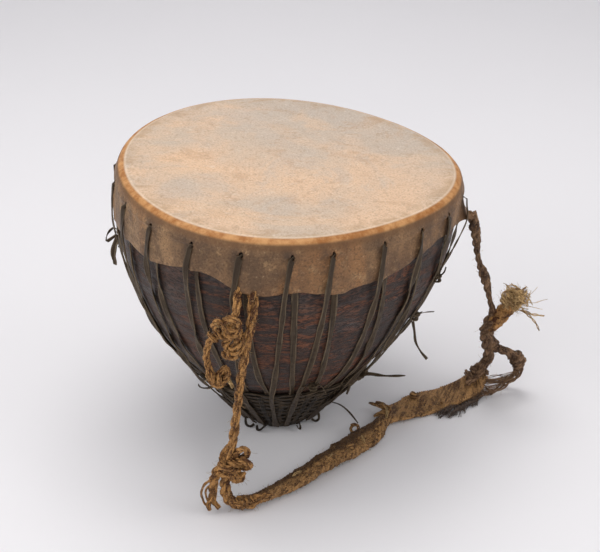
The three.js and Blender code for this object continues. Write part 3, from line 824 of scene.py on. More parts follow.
def wrap(azimuth, height, distance, radius, turns, rise, seed, girth=.55):
    """Thong wound round a strand to bind it."""
    centre = on_drum(azimuth, height, distance)
    axis = on_drum(azimuth, height + .01, distance) - centre
    points = coil_points(centre, axis, radius, turns, rise, seed)
    return free_line(points, seed, girth, .0016)


def tail(azimuth, height, steps, seed, girth=.75, taper=.35):
    """A loose end from a place on the drum, in steps (to the right, outwards, up)."""
    z, radius = off_bowl(height, ON_WOOD + .0015)
    points = [handmade(place(azimuth, radius + out, z + up) + place(azimuth + 90, right, 0))
              for right, out, up in steps]
    return free_line(points, seed, girth, taper=taper)


# Where each length is tied off, with its wraps and its loose ends.
tied = {
    0: [wrap(17.5, .120, .0035, .0040, 2.6, .009, 1.2),
        tail(17.5, .120, [(.002, 0, 0), (-.005, .005, .006), (-.012, .006, .003), (-.017, .004, -.004),
                          (-.013, .006, -.009)], 3, .40),
        tail(17.5, .120, [(-.002, .001, 0), (.006, .004, .003), (.011, .006, -.003),
                          (.014, .007, -.010)], 4, .42),
        tail(13.0, .123, [(-.006, 0, 0), (.001, .004, .002), (.010, .003, -.002), (.016, .002, .003)],
             5, .42),
        tail(-51.5, .078, [(.002, 0, 0), (-.004, .008, -.003), (-.009, .014, -.002), (-.011, .016, .002)],
             6, .7)],
    1: [wrap(50.0, .106, .004, .0052, 2.4, .012, .3, .7), wrap(54.5, .103, .004, .0050, 2.0, .010, 2.3, .7),
        wrap(46.0, .100, .004, .0046, 1.8, .010, 1.3, .6),
        free_line([(.0840, -.076, .088), (.0960, -.078, .098), (.1074, -.082, .1045), (.1273, -.088, .1055),
                   (.1506, -.094, .1095)], 8, .68, taper=.2),
        free_line([(.0870, -.070, .094), (.0858, -.076, .084), (.0825, -.078, .073)], 9, .6, taper=.3)],
    2: [wrap(67.3, .180, .0035, .0042, 2.8, .012, .8, .6),
        free_line([(.1610, -.072, .1790), (.1711, -.078, .1865), (.1823, -.082, .1900)], 12, .48),
        free_line([(.1590, -.070, .1700), (.1610, -.074, .1590), (.1628, -.078, .1460),
                   (.1690, -.080, .1345), (.1766, -.082, .1252)], 13, .52),
        wrap(66.8, .240, .0035, .0040, 2.2, .010, 2.8, .55),
        tail(66.8, .240, [(0, .001, 0), (.004, .006, .006), (.006, .007, .013)], 15, .45),
        free_line([(.0610, -.028, .0290), (.0690, -.034, .0320), (.0780, -.040, .0315),
                   (.0882, -.044, .0233), (.0982, -.047, .0105)], 14, .40)],
    3: [wrap(167.4, .176, .0035, .0045, 2.6, .011, .4),
        tail(167.4, .176, [(0, .001, 0), (-.004, .005, -.010), (-.008, .005, -.026)], 16, .6)],
    4: [wrap(266.6, .240, .0040, .0046, 2.8, .013, 1.4, .7),
        wrap(266.6, .228, .0050, .0052, 2.2, .012, .2, .75),
        tail(266.6, .241, [(0, .003, 0), (0, .010, .004), (0, .017, -.004), (-.001, .019, -.014),
                           (0, .013, -.010), (0, .006, -.004)], 18, .65, 0),
        tail(266.6, .234, [(0, .004, 0), (.002, .008, -.010), (.003, .010, -.022), (.003, .009, -.034)],
             19, 1.25, .40),
        tail(266.6, .236, [(0, .005, 0), (.001, .009, -.010), (.002, .011, -.022), (.002, .010, -.030)],
             22, 1.0, .3),
        tail(266.6, .262, [(0, .002, 0), (-.002, .006, .010), (-.004, .008, .024), (-.006, .006, .033)],
             20, .6)],
}

thongs = Finish("twisted rawhide thong", Specular_IOR_Level=0.22)
fuzz = thongs.noise(160, 5, 0.65)
stain = thongs.noise(18, 4, 0.6)
# The thong's two ridges, against its middle groove.
lit_ridges_shaded_groove = thongs.attribute("side").math("ABSOLUTE").between(0.45, 1.0)
painted_crease_shade = thongs.noise(1.0, 4, 0.6, at=thongs.node("ShaderNodeCombineXYZ", {}, {
    0: thongs.attribute("along") * 28.0, 1: thongs.attribute("side") * 2.2,
    2: thongs.attribute("tone") * 53.0}))
low_down = thongs.place.part(2).between(0.03, 0.12, 0.70, 0.0)
on_skirt = thongs.place.part(2).between(0.275, 0.31, 0.0, 0.55)
dull = layered(
    # Painted shade in the middle groove of each thong, painted light on its two ridges.
    lit_ridges_shaded_groove.mix((.055, .036, .020), (.150, .108, .064)),
    (stain.between(0.40, 0.62) * 0.5, (.075, .050, .029)),
    # Painted highlight: pale flecks along the ridges.
    (lit_ridges_shaded_groove * fuzz.between(0.40, 0.60) * 0.45, (.27, .21, .135)),
    # Painted shade: dark streaks along the thong where its twist creases it.
    (painted_crease_shade.between(0.50, 0.60) * 0.75, (.026, .017, .010)),
    (fuzz.between(0.54, 0.70) * 0.60, (.028, .018, .011)),
    (low_down.math("MAXIMUM", on_skirt), (.034, .021, .012)))
thongs.feed(dull, fuzz.between(0.3, 0.7, 0.45, 0.68), fuzz + stain * 0.3, 0.0008)

first = 0
for length, last in enumerate(LENGTH_ENDS):
    lines = [stitch(i) for i in range(first, last + 1)] + tied[length]
    first = last + 1
    lacing = grown(strip, guide_lines(lines), f"lacing_{length + 1}", thongs,
                   Width=THONG_WIDTH, Thickness=THONG, Groove=.65)
    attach(lacing, "root")
    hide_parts(f"lacing_thong_{length + 1}")

# Short twisted ends of the ring's own winding, at the floor.
STUBS, FIRST_STUB = 9, -48
stubs = []
for k in range(STUBS):
    azimuth = FIRST_STUB + 360 * k / STUBS + draw.uniform(-8, 8)
    radius = off_bowl(.020, .009)[1]
    swing = draw.uniform(-.010, .010)
    hook = [(0, -.006, .016), (swing * .4, .001, .012), (swing, .004, .006), (swing * 1.5, .001, .0035),
            (swing * 1.7, -.004, .006)]
    points = [handmade(place(azimuth, radius + out, height) + place(azimuth + 90, side, 0))
              for side, out, height in hook]
    stubs.append(free_line(points, k + 40, .7, .002))
ring_ends = grown(strip, guide_lines(stubs), "foot_ring_ends", strips, Width=.0050, Thickness=.0022)
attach(ring_ends, "root")

# ---------------------------------------------------------------------------- the ropes
# The sling's ropes are laid by hand from long golden-brown plant fibre, three strands to a
# rope and each strand of twisted yarns. The left one comes from under the hem, and the right
# one, of two plies, from the dragged corner of the hide. They are limp and hang as they fall.

ROPE, THIN_ROPE, HANGER = 0.0115, 0.0105, 0.0085
LEFT_ROUTE = [
    (-.024, -.1985, .296), (-.024, -.2035, .285),
    (-.024, -.210, .274), (-.026, -.211, .250), (-.031, -.210, .225), (-.035, -.209, .200),
    (-.039, -.208, .175), (-.042, -.208, .150), (-.045, -.208, .125), (-.048, -.208, .102),
    (-.051, -.208, .084), (-.054, -.209, .068)]
RIGHT_ROUTE = [
    (.228, -.017, .286), (.231, -.013, .270), (.235, -.009, .252), (.240, -.001, .218),
    (.252, .007, .183), (.260, .015, .150), (.266, .020, .126), (.262, .026, .102),
    (.265, .032, .075), (.262, .038, .050), (.257, .042, .032)]
HANGER_ROUTE = [
    (-.039, -.1990, .296), (-.040, -.2060, .286),
    (-.041, -.216, .272), (-.044, -.216, .258), (-.046, -.215, .246), (-.058, -.214, .238),
    (-.070, -.213, .230), (-.075, -.212, .214), (-.074, -.211, .198), (-.069, -.210, .184),
    (-.060, -.209, .177)]
LOOP_ROUTE = [
    (.270, .032, .072), (.284, .035, .066), (.298, .038, .057), (.307, .042, .044),
    (.309, .046, .026), (.298, .049, .012), (.280, .050, .010), (.266, .048, .012)]

laid = Recipe("Laid rope", Diameter=.011, Strands=3, Yarns=5, Turn=.042, Unrest=.0006)
full_turn = 2 * math.pi
girth = laid.named("girth")
spread = laid.named("spread")
outward = laid.named("outward", "FLOAT_VECTOR")
ahead = laid.node("GeometryNodeInputTangent")
travel = laid.node("GeometryNodeSplineParameter", output=1)


def around(angle, radius):
    """A step off the line at an angle round it."""
    aside = (outward - ahead * ahead.math("DOT_PRODUCT", outward).sibling(1)).math("NORMALIZE")
    across = ahead.math("CROSS_PRODUCT", aside)
    return (aside * angle.math("COSINE") + across * angle.math("SINE")) * radius


line = laid.keep(laid.guide_curves(), "along", travel)
line = laid.copies(line, laid.given("Strands"))
strand_number = line.sibling(1)
angle = (travel / laid.given("Turn") + strand_number / laid.given("Strands")) * full_turn
line = laid.shift(line, around(angle, laid.given("Diameter") * girth * spread * 0.25))
line = laid.copies(line, laid.given("Yarns"))
yarn_number = line.sibling(1)
angle = (yarn_number / laid.given("Yarns") - travel / laid.given("Turn") * 1.3) * full_turn
line = laid.shift(line, around(angle, laid.given("Diameter") * girth * 0.15))
own = strand_number * 7.0 + yarn_number
shake = laid.node("ShaderNodeTexNoise", {}, {
    "Vector": laid.node("GeometryNodeInputPosition") + own * 3.1, "Scale": 85.0, "Detail": 1.0}, 1)
line = laid.shift(line, (shake - (.5, .5, .5)) * laid.given("Unrest") * 2.0 * spread)
line = laid.keep(line, "tone", laid.chance(0.0, 1.0, 5, own))
laid.done(laid.swept(line, laid.circle(6, laid.given("Diameter") * 0.105), girth))


def rope_guide(runs, step=.0022):
    """Guide lines of rope runs. A run is (points, girth, spread), each a number or a table."""
    lines, spreads = [], []
    for points, girth, spread in runs:
        spots = sampled(points, step)
        line = []
        for k, (spot, out) in enumerate(zip(spots, rolled(spots))):
            share = k / (len(spots) - 1)
            size = smooth(girth, share) if isinstance(girth, list) else girth
            line.append((spot, out, size * (1 + .10 * noise.noise(spot * 60))))
            spreads.append(smooth(spread, share) if isinstance(spread, list) else spread)
        lines.append(line)
    mesh = guide_lines(lines)
    mark(mesh, "spread", spreads)
    return mesh


def fibres(name, dark, bright, folded=False):
    """Fibre from its shadowed to its rubbed colour, streaked along each yarn.

    On a folded weave, the half of the band towards the back is darker.
    """
    made = Finish(name, Specular_IOR_Level=0.30)
    shade = made.attribute("tone")
    streak = made.noise(1.0, 4, 0.65, at=made.node("ShaderNodeCombineXYZ", {}, {
        0: made.attribute("along") * 95.0, 1: shade * 61.0}))
    hairs = made.noise(620, 3, 0.7)
    patches = made.noise(55, 4, 0.6)
    value = shade * 0.40 + streak.between(0.40, 0.60) * 0.40 + patches.between(0.40, 0.60) * 0.20
    straw = layered(
        value.between(0.18, 0.88).mix(dark, bright),
        (hairs.between(0.52, 0.66) * 0.45, tuple(min(1, 1.6 * c) for c in bright)),
        (hairs.between(0.32, 0.46, 1.0, 0.0) * 0.70, tuple(.45 * c for c in dark)))
    if folded:
        fold = made.attribute("weave") * made.attribute("fold").between(-0.15, 0.35)
        straw = (fold * 0.75).mix(straw, (.050, .024, .011))
    made.feed(straw, hairs.between(0.3, 0.7, 0.45, 0.72), hairs + streak * 0.5, 0.0012)
    return made


golden = fibres("golden laid fibre", (.060, .018, .005), (.52, .270, .090))
brown = fibres("handled brown fibre", (.048, .023, .012), (.300, .175, .095))
pale_fibre = fibres("broken pale fibre", (.150, .072, .026), (.70, .47, .215))
dull_fibre = fibres("worn dark fibre", (.030, .020, .016), (.150, .105, .080))


def rope(name, runs, finish, diameter, replaced=None, **sizes):
    piece = grown(laid, rope_guide(runs), name, finish, Diameter=diameter, **sizes)
    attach(piece, "root")
    if replaced:
        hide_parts(replaced)
    return piece


def bight(centre, axis, radius, turns, rise, start, girth, spread=1.0):
    """A run of rope that is wound round an axis."""
    return coil_points(centre, axis, radius, turns, rise, start), girth, spread


def run_length(points):
    spots = sampled(points, .0022)
    return sum((b - a).length for a, b in zip(spots, spots[1:]))


left_rope = rope("left_rope", [(LEFT_ROUTE, [(0, 1), (.1, 1.08), (.4, .92), (.8, .95), (1, 1.05)], 1.0)],
                 golden, ROPE, "rope_left", Turn=.055, Unrest=.0009)
RIGHT_GIRTHS = [(0, 1.0), (.06, 1.36), (.14, 1.22), (.24, .72), (.30, .78), (.38, 1.26), (.46, .95),
                (.54, .64), (.6, .9), (1, 1.0)]
right_rope = rope("right_rope", [(RIGHT_ROUTE, RIGHT_GIRTHS, 1.0)], brown, THIN_ROPE, "rope_right",
                  Strands=3, Yarns=6, Turn=.038, Unrest=.0007)

# ---------------------------------------------------------------------------- the knots
# The left rope ends in a slack knot of its own bights, with a cut end hanging from it and a
# branch that lies down to the woven band. Beside it hangs a knotted, looped length from under
# the hem. On the right a thicker rope with a burst, brushy end is wound round the thin one,
# and goes on as a loop whose strands have come open.

LEFT_BRANCH = [(-.057, -.209, .058), (-.059, -.209, .038), (-.057, -.210, .020), (-.048, -.210, .010),
               (-.036, -.209, .009)]
LEFT_TAIL = [(-.056, -.207, .062), (-.066, -.210, .057), (-.071, -.211, .046), (-.073, -.212, .030),
             (-.074, -.213, .018)]
left_knot = rope("left_knot", [
    (LEFT_BRANCH, [(0, 1.1), (.5, 1.3), (1, 1.15)], 1.0),
    (LEFT_TAIL, [(0, 1.0), (.5, 1.1), (.9, .95), (1, .8)], 1.0),
    ([(-.048, -.199, .081), (-.056, -.201, .080), (-.061, -.208, .070), (-.057, -.215, .059),
      (-.049, -.218, .052), (-.042, -.215, .047), (-.038, -.207, .051)], .84, 1.0),
    ([(-.047, -.206, .073), (-.043, -.213, .085), (-.038, -.216, .090), (-.033, -.214, .085),
      (-.034, -.209, .076), (-.041, -.204, .070)], .78, 1.0),
    ([(-.044, -.210, .070), (-.037, -.217, .075), (-.0315, -.215, .069), (-.031, -.210, .062),
      (-.037, -.206, .058), (-.045, -.205, .061)], .80, 1.0),
    bight((-.0560, -.209, .061), (.2, 0, 1), .0080, 2.3, .020, 1.0, .74),
    bight((-.0480, -.210, .064), (.5, .1, 1), .0065, 1.6, .016, 2.0, .76),
    bight((-.0475, -.211, .051), (.9, .1, .2), .0055, 1.4, .008, 2.6, .66),
    bight((-.036, -.2085, .0098), (1, .15, .05), .0048, 2.2, .020, .4, .72),
    ([(-.050, -.212, .012), (-.040, -.216, .013), (-.030, -.212, .008), (-.022, -.206, .011),
      (-.014, -.200, .012)], .75, 1.0),
    ([(-.046, -.204, .013), (-.036, -.202, .012), (-.026, -.205, .015), (-.016, -.202, .014),
      (-.006, -.195, .012)], .70, 1.0),
], golden, .0110, "rope_left_knot", Turn=.036)
left_ends = rope("left_rope_ends", [
    ([(-.073, -.213, .024), (-.078, -.215, .014), (-.077, -.217, .0055)], [(0, .85), (1, .60)], 1.1),
    ([(-.073, -.212, .024), (-.072, -.213, .014), (-.066, -.215, .007)], [(0, .95), (1, .65)], 1.1),
    ([(-.070, -.212, .046), (-.078, -.213, .043), (-.084, -.213, .035), (-.086, -.213, .024),
      (-.082, -.214, .012), (-.077, -.214, .008)], .32, 1.2),
    ([(-.071, -.213, .040), (-.079, -.215, .036), (-.081, -.215, .026), (-.078, -.215, .016)], .28, 1.2),
], golden, .0090, Yarns=4)

hanger = rope("left_hanger", [(HANGER_ROUTE, [(0, 1.1), (.2, 1.1), (.35, 1.0), (1, 1.0)], 1.0)],
              golden, HANGER, "rope_left_hanger", Turn=.034)
hanger_knots = rope("left_hanger_knots", [
    ([(-.049, -.214, .252), (-.053, -.219, .259), (-.045, -.221, .261), (-.039, -.219, .254),
      (-.040, -.217, .244), (-.047, -.218, .237), (-.055, -.217, .237)], .95, 1.0),
    ([(-.052, -.214, .242), (-.055, -.217, .251), (-.060, -.219, .256), (-.065, -.217, .253),
      (-.065, -.214, .246), (-.060, -.214, .242)], .98, 1.1),
    ([(-.047, -.210, .250), (-.045, -.214, .242), (-.050, -.218, .244), (-.054, -.216, .250)], .95, 1.0),
    ([(-.042, -.212, .246), (-.038, -.213, .236), (-.038, -.214, .224), (-.043, -.216, .214),
      (-.051, -.216, .211), (-.055, -.214, .217)], 1.0, 1.6),
    ([(-.044, -.211, .240), (-.042, -.212, .230), (-.045, -.214, .221), (-.051, -.214, .219),
      (-.054, -.213, .225), (-.049, -.212, .233)], .85, 1.5),
    bight((-.046, -.213, .243), (.3, 0, 1), .0064, 2.2, .018, .5, .80),
    bight((-.064, -.213, .236), (1, .1, .5), .0052, 1.5, .012, .5, .66),
    ([(-.074, -.210, .192), (-.072, -.213, .180), (-.064, -.215, .173), (-.056, -.213, .178),
      (-.052, -.211, .188), (-.056, -.209, .192), (-.061, -.209, .186)], .90, 1.0),
    bight((-.064, -.210, .179), (1, 0, -.2), .0056, 2.0, .014, .5, .80),
], golden, HANGER, Turn=.032)
cut_end = rope("left_hanger_end", [
    ([(-.056, -.211, .182), (-.051, -.213, .177), (-.047, -.214, .170)], [(0, .55), (1, .40)], 1.3),
    ([(-.058, -.213, .246), (-.061, -.219, .252), (-.064, -.221, .256)], [(0, .5), (1, .3)], 1.8),
], pale_fibre, HANGER)

THICK = 0.013
TRUNK = [(.266, .019, .130), (.262, .021, .112), (.260, .024, .094), (.263, .029, .075), (.267, .033, .058),
         (.261, .040, .042), (.250, .044, .028)]
right_knot = rope("right_knot", [
    (TRUNK, [(0, .9), (.15, 1.35), (.45, 1.30), (.62, 1.0), (1, 1.15)], 1.0),
    ([(.272, .020, .128), (.264, .013, .120), (.255, .018, .108), (.257, .026, .096), (.266, .028, .088),
      (.271, .026, .078)], .75, 1.0),
    ([(.259, .016, .104), (.266, .017, .094), (.270, .025, .084), (.262, .030, .076)], .65, 1.0),
], brown, THICK, "rope_right_knot", Turn=.044, Yarns=6)
neck = rope("right_knot_neck", [
    ([(.263, .022, .108), (.268, .018, .119), (.276, .016, .130), (.284, .017, .141), (.290, .018, .150)],
     [(0, 1.3), (.30, 1.80), (.7, 1.70), (1, 1.5)], 1.0),
], golden, THICK, Turn=.030, Yarns=6)
right_loop = rope("right_loop", [(LOOP_ROUTE, [(0, 1.25), (.28, 1.2), (.40, 1.15), (.52, .62), (1, .55)],
                                  [(0, 1.0), (.38, 1.0), (.52, 1.5), (.8, 1.9), (1, 1.4)])],
                  brown, .0100, "rope_right_loop", Unrest=.0010, Turn=.034)
loop_knots = rope("right_loop_knots", [
    bight((.304, .040, .048), (.5, .1, -1), .0064, 2.4, .018, .4, .90),
    bight((.271, .030, .076), (.3, 0, -.8), .0052, 1.6, .014, 1.0, .62),
    bight((.254, .044, .026), (1, .2, .6), .0085, 2.4, .022, .2, .80),
    ([(.256, .041, .040), (.264, .042, .050), (.269, .040, .062), (.266, .036, .074)], .85, 1.0),
    ([(.240, .030, .019), (.250, .034, .026), (.258, .032, .038), (.263, .030, .052)], .90, 1.0),
], brown, .0100, Turn=.034)
FAN_STRANDS, RAGS, BRUSH_STRANDS = 11, 34, 60
draw = random.Random(8)
fan = []
for k in range(FAN_STRANDS):
    share = k / (FAN_STRANDS - 1)
    low, side = draw.uniform(-.003, .003), draw.uniform(-.004, .004)
    fan.append(([(.304 + side, .043, .044 - .010 * share), (.302 + low, .042, .030 - .008 * share),
                 (.291 + low, .041 - .003 * share, .026 - .016 * share),
                 (.275, .038 - .010 * share + side, .024 - .018 * share + low * .6),
                 (.258 + side, .038 - .018 * share, .022 - .015 * share),
                 (.240 + side, .034 - .026 * share, .015 - .010 * share)], draw.uniform(.22, .36), 1.5))
loose_strands = rope("right_loop_strands", fan, brown, .0100, Yarns=3, Strands=2, Unrest=.0010)
RAG_EDGE = [(.196, -.012), (.211, -.017), (.224, -.022), (.238, -.011), (.256, .006)]
ragged = []
for k in range(RAGS):
    start = draw.uniform(RAG_EDGE[0][0], RAG_EDGE[-1][0])
    out = smooth(RAG_EDGE, start)
    reach, swing = draw.uniform(.002, .016), draw.uniform(-.4, .5)
    ragged.append(([(start + .004, out + .028, .004), (start + .002, out + .016, draw.uniform(.004, .008)),
                    (start - reach * .5, out + .008 + swing * .006, draw.uniform(.003, .006)),
                    (start - reach, out + .001 + swing * .010, .002)], draw.uniform(.16, .30), 2.4))
rag_edge = rope("band_ragged_edge", ragged, dull_fibre, .0100, Yarns=3, Strands=2, Unrest=.0014)

BURST = Vector((.2905, .018, .1500))
draw = random.Random(5)
brush_runs = []
for k in range(BRUSH_STRANDS):
    aim = Vector((draw.gauss(.30, .8), draw.gauss(-.35, .7), draw.gauss(.25, .8))).normalized()
    curl = aim.cross(Vector((draw.uniform(-1, 1), draw.uniform(-1, 1), draw.uniform(-1, 1)))).normalized()
    size = draw.uniform(.010, .0165)
    bend = BURST + aim * size * 1.02 + curl * size * .5
    tip = BURST + aim * size * draw.uniform(.6, 1.15) + curl * size * draw.uniform(.8, 1.3)
    brush_runs.append(([BURST + curl * .003, BURST + aim * size * .85, bend, tip],
                       [(0, .50), (.6, .42), (1, .12)], 1.5))
brush = rope("right_rope_brush", brush_runs, pale_fibre, .0100, Strands=1, Yarns=4, Unrest=.0010)
burst_core = rope("right_rope_burst", [
    bight(BURST - Vector((.001, 0, .001)), (.8, 0, .7), .0078, 2.4, .018, .2, 1.0, 1.3),
    bight(BURST + Vector((.001, 0, .001)), (0, 1, .3), .0070, 1.6, .006, .2, .95, 1.3),
    bight(BURST + Vector((.002, 0, .002)), (1, 0, -.4), .0064, 1.6, .006, 1.2, .90, 1.3),
], pale_fibre, .0100, Unrest=.0012)
burst_ends = rope("right_rope_long_ends", [
    ([(.300, .016, .136), (.310, .015, .131), (.320, .015, .129), (.329, .016, .127)],
     [(0, .50), (1, .22)], 1.2),
    ([(.303, .016, .134), (.312, .015, .126), (.319, .015, .117), (.324, .016, .106)],
     [(0, .42), (1, .22)], 1.2),
    ([(.300, .017, .150), (.304, .016, .160), (.302, .016, .171)], [(0, .16), (1, .06)], 1.0),
    ([(.302, .017, .146), (.316, .016, .146), (.324, .016, .149), (.331, .016, .151)],
     [(0, .12), (1, .06)], 1.0),
    ([(.300, .017, .142), (.313, .016, .140), (.326, .017, .136)], [(0, .12), (1, .06)], 1.0),
    ([(.300, .017, .152), (.311, .018, .158), (.318, .018, .167)], [(0, .12), (1, .05)], 1.0),
], pale_fibre, .0100, Strands=2, Yarns=3, Turn=.020)

# ---------------------------------------------------------------------------- the woven band
# The flat part of the sling is plaited from the same fibre as a tube pressed flat: cords run
# slantwise over it and back underneath. It lies open and broad on the floor to the right, and
# is gathered and creased towards the left, where its ends were bound to the rope.

BAND_ROUTE = [
    (-.036, -.2085, .0105), (-.022, -.201, .011), (-.008, -.191, .011), (.009, -.178, .011),
    (.026, -.162, .011), (.05, -.136, .011), (.074, -.111, .01), (.098, -.085, .009),
    (.115, -.066, .0085), (.128, -.042, .008), (.139, -.025, .007), (.158, -.011, .0055),
    (.179, .003, .005), (.2, .013, .0055), (.221, .023, .007), (.24, .033, .011), (.252, .041, .0165),
    (.261, .045, .026)]
BAND_WIDTHS = [(0, .012), (.10, .019), (.20, .027), (.34, .034), (.48, .034), (.575, .021), (.60, .018),
               (.63, .031), (.70, .042), (.80, .047), (.90, .044), (.96, .036), (1, .022)]
BAND_HEIGHTS = [(0, .0105), (.14, .0095), (.32, .0095), (.5, .0090), (.60, .0110), (.65, .0070), (.8, .0060),
                (.9, .0075), (.96, .012), (1, .016)]
OPEN_FROM = 0.61                            # the band lies open and flat from this share on
CORD_HALF = 0.0014
FULL_WIDTH = 0.048
BAND_STEP = 0.0015

plait = Recipe("Plaited band", Cords=24, Advance=.095, Cord=.0030, Under=.0006, Beat=.0048, Way=1.0)
half_width = plait.named("half_width")
half_height = plait.named("half_height")
outward = plait.named("outward", "FLOAT_VECTOR")
sideways = plait.named("sideways", "FLOAT_VECTOR")
travel = plait.node("GeometryNodeSplineParameter", output=1)
line = plait.keep(plait.guide_curves(), "along", travel)
line = plait.copies(line, plait.given("Cords"))
number = line.sibling(1)
lap = number / plait.given("Cords") + plait.named("along") / plait.given("Advance") * plait.given("Way")
lap = lap + 40.0                            # keeps it above nought
across = (lap * 2.0).math("PINGPONG", 1.0) * 2.0 - 1.0
upper = lap.math("FRACT").math("LESS_THAN", 0.5) * 2.0 - 1.0
crown = (1 - across * across * across * across).math("MAXIMUM", 0.0).math("SQRT")
beat = (plait.named("along") / plait.given("Beat") * math.pi + number * math.pi).math("SINE")
rise = crown * half_height + beat * plait.given("Under") * plait.named("weave") - plait.named("sunk")
own = number * 2.3
shake = plait.node("ShaderNodeTexNoise", {}, {
    "Vector": plait.node("GeometryNodeInputPosition") + own, "Scale": 60.0, "Detail": 2.0}, 1)
shiver = plait.named("weave") * 0.0030 + 0.0008
step = sideways * (across * half_width) + outward * (rise * upper) + (shake - (.5, .5, .5)) * shiver
line = plait.keep(line, "fold", across)
line = plait.shift(line, step)
line = plait.keep(line, "tone", plait.chance(0.0, 1.0, 3, number))
plait.done(plait.swept(line, plait.circle(6, plait.given("Cord") * 0.5), plait.named("girth")))


def band_guide(sink, deeper=0.0):
    """The band's route, with the size of its section and how its cords lie along it."""
    spots = sampled(BAND_ROUTE, BAND_STEP)
    line, sides = [], []
    extra = {"half_width": [], "half_height": [], "weave": [], "sunk": []}
    for k, spot in enumerate(spots):
        share = k / (len(spots) - 1)
        ahead = heading(spots, k)
        lean = .35 * noise.noise(Vector((share * 5, 1, 0)))
        side = Vector((-ahead.y, ahead.x, lean)).normalized()
        up = ahead.cross(side).normalized()
        weave = smooth([(0, 1), (OPEN_FROM - .04, 1), (OPEN_FROM + .02, .12), (1, .12)], share)
        rag = 1 + (.05 + .08 * weave) * noise.noise(Vector((share * 22, 7, 0)))
        lumps = 1 + .30 * weave * noise.noise(Vector((share * 30, 3, 0)))
        line.append((spot, up, .84 + .30 * smooth(BAND_WIDTHS, share) / FULL_WIDTH))
        extra["half_width"].append(smooth(BAND_WIDTHS, share) / 2 * rag - sink)
        extra["half_height"].append(smooth(BAND_HEIGHTS, share) / 2 * lumps - sink)
        extra["weave"].append(weave)
        extra["sunk"].append(deeper * (1 - weave))
        sides.extend(side)
    mesh = guide_lines([line])
    for key, values in extra.items():
        mark(mesh, key, values)
    mark(mesh, "sideways", sides, "FLOAT_VECTOR")
    return mesh


plaited = fibres("plaited fibre", (.075, .033, .013), (.46, .255, .100), folded=True)
band = grown(plait, band_guide(CORD_HALF), "woven_band", plaited,
             Cords=30, Advance=.092, Cord=.0023, Under=.0009, Way=1.0)
backing = grown(plait, band_guide(CORD_HALF * 1.3, .0022), "woven_band_backing", plaited,
                Cords=26, Advance=.080, Cord=.0024, Under=-.0011, Way=-1.0)
tufts = rope("band_tufts", [
    ([(.139, -.020, .010), (.1357, -.015, .012), (.1247, -.008, .0115), (.1137, -.001, .010)],
     [(0, .75), (.6, .62), (1, .25)], 1.3),
    ([(.136, -.014, .010), (.130, -.006, .013), (.122, -.002, .012)], [(0, .45), (1, .22)], 1.4),
    ([(.138, -.026, .010), (.1310, -.0258, .011), (.1239, -.027, .010), (.1188, -.029, .008)],
     [(0, .6), (.6, .6), (1, .25)], 1.5),
    bight((.172, .016, .010), (.3, .2, 1), .0042, 1.6, .005, .4, .55, 1.2),
    bight((.0935, -.060, .011), (-.3, -.6, .6), .0052, 1.15, .004, .4, .40, 1.1),
    ([(.205, .002, .009), (.208, -.004, .011), (.203, -.010, .008)], [(0, .32), (1, .22)], 1.4),
], plaited, .0100, Yarns=4)
flecks = rope("band_broken_cords", [
    ([(.0175, -.166, .0150), (.0225, -.161, .0170), (.0280, -.157, .0155)], .34, 1.5),
    ([(.1340, -.040, .0125), (.1352, -.026, .0145), (.1345, -.014, .0125)], .30, 1.5),
    ([(.1015, -.080, .0135), (.1030, -.086, .0145), (.1045, -.093, .0125)], .28, 1.5),
    ([(.0600, -.130, .0150), (.0630, -.125, .0165), (.0660, -.121, .0150)], .22, 1.5),
], pale_fibre, .0100, Yarns=4)
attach(backing, "root")
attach(band, "root")
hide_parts("sling_band")

# ---------------------------------------------------------------------------- stray fibres
# Every rope and the band shed short stiff hairs where the fibre has broken.

stray = Recipe("Stray fibres", Density=4000.0, Length=.008, Thickness=.00011, Seed=3)
points = stray.node("GeometryNodeDistributePointsOnFaces", {}, {
    "Mesh": stray.given("Guide"), "Density": stray.given("Density"), "Seed": stray.given("Seed")})
length = stray.given("Length")
hair = stray.node("GeometryNodeCurveQuadraticBezier", {}, {
    "Resolution": 5, "Start": (0, 0, 0),
    "Middle": stray.node("ShaderNodeCombineXYZ", {}, {2: length * 0.55}),
    "End": stray.node("ShaderNodeCombineXYZ", {}, {0: length * 0.45, 2: length * 0.9})})
hair = stray.swept(hair, stray.circle(3, stray.given("Thickness")))
swing = stray.node("FunctionNodeRandomValue", {"data_type": "FLOAT_VECTOR"}, {
    0: (-1.2, -1.2, -3.1), 1: (1.2, 1.2, 3.1), 8: 9})
turned = stray.node("FunctionNodeRotateRotation", {"rotation_space": "LOCAL"}, {
    0: points.sibling(2), 1: stray.node("FunctionNodeEulerToRotation", {}, {0: swing})})
stray.done(stray.node("GeometryNodeInstanceOnPoints", {}, {
    "Points": points, "Instance": hair, "Rotation": turned, "Scale": stray.chance(0.35, 1.3, 4)}))

straws = Finish("stray fibre", Specular_IOR_Level=0.3)
pale = straws.noise(120, 2, 0.5).between(0.35, 0.65).mix((.20, .105, .045), (.50, .34, .18))
straws.feed(pale, straws.noise(80).between(0.3, 0.7, 0.6, 0.8))
STRAYS = [  # name, what sheds them, hairs on a square metre, longest hair
    ("left_rope_hairs", left_rope, 14000.0, .0060),
    ("left_knot_hairs", left_knot, 12000.0, .0065),
    ("hanger_hairs", hanger_knots, 18000.0, .0065),
    ("right_rope_hairs", right_rope, 9000.0, .0045),
    ("right_knot_hairs", right_knot, 12000.0, .0060),
    ("loop_hairs", loose_strands, 12000.0, .0060),
    ("brush_hairs", burst_core, 60000.0, .0085),
    ("band_hairs", band, 14000.0, .0050),
]
for number, (name, source, density, longest) in enumerate(STRAYS):
    hairs = grown(stray, source.data.copy(), name, straws, Density=density, Length=longest, Seed=number)
    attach(hairs, "root")

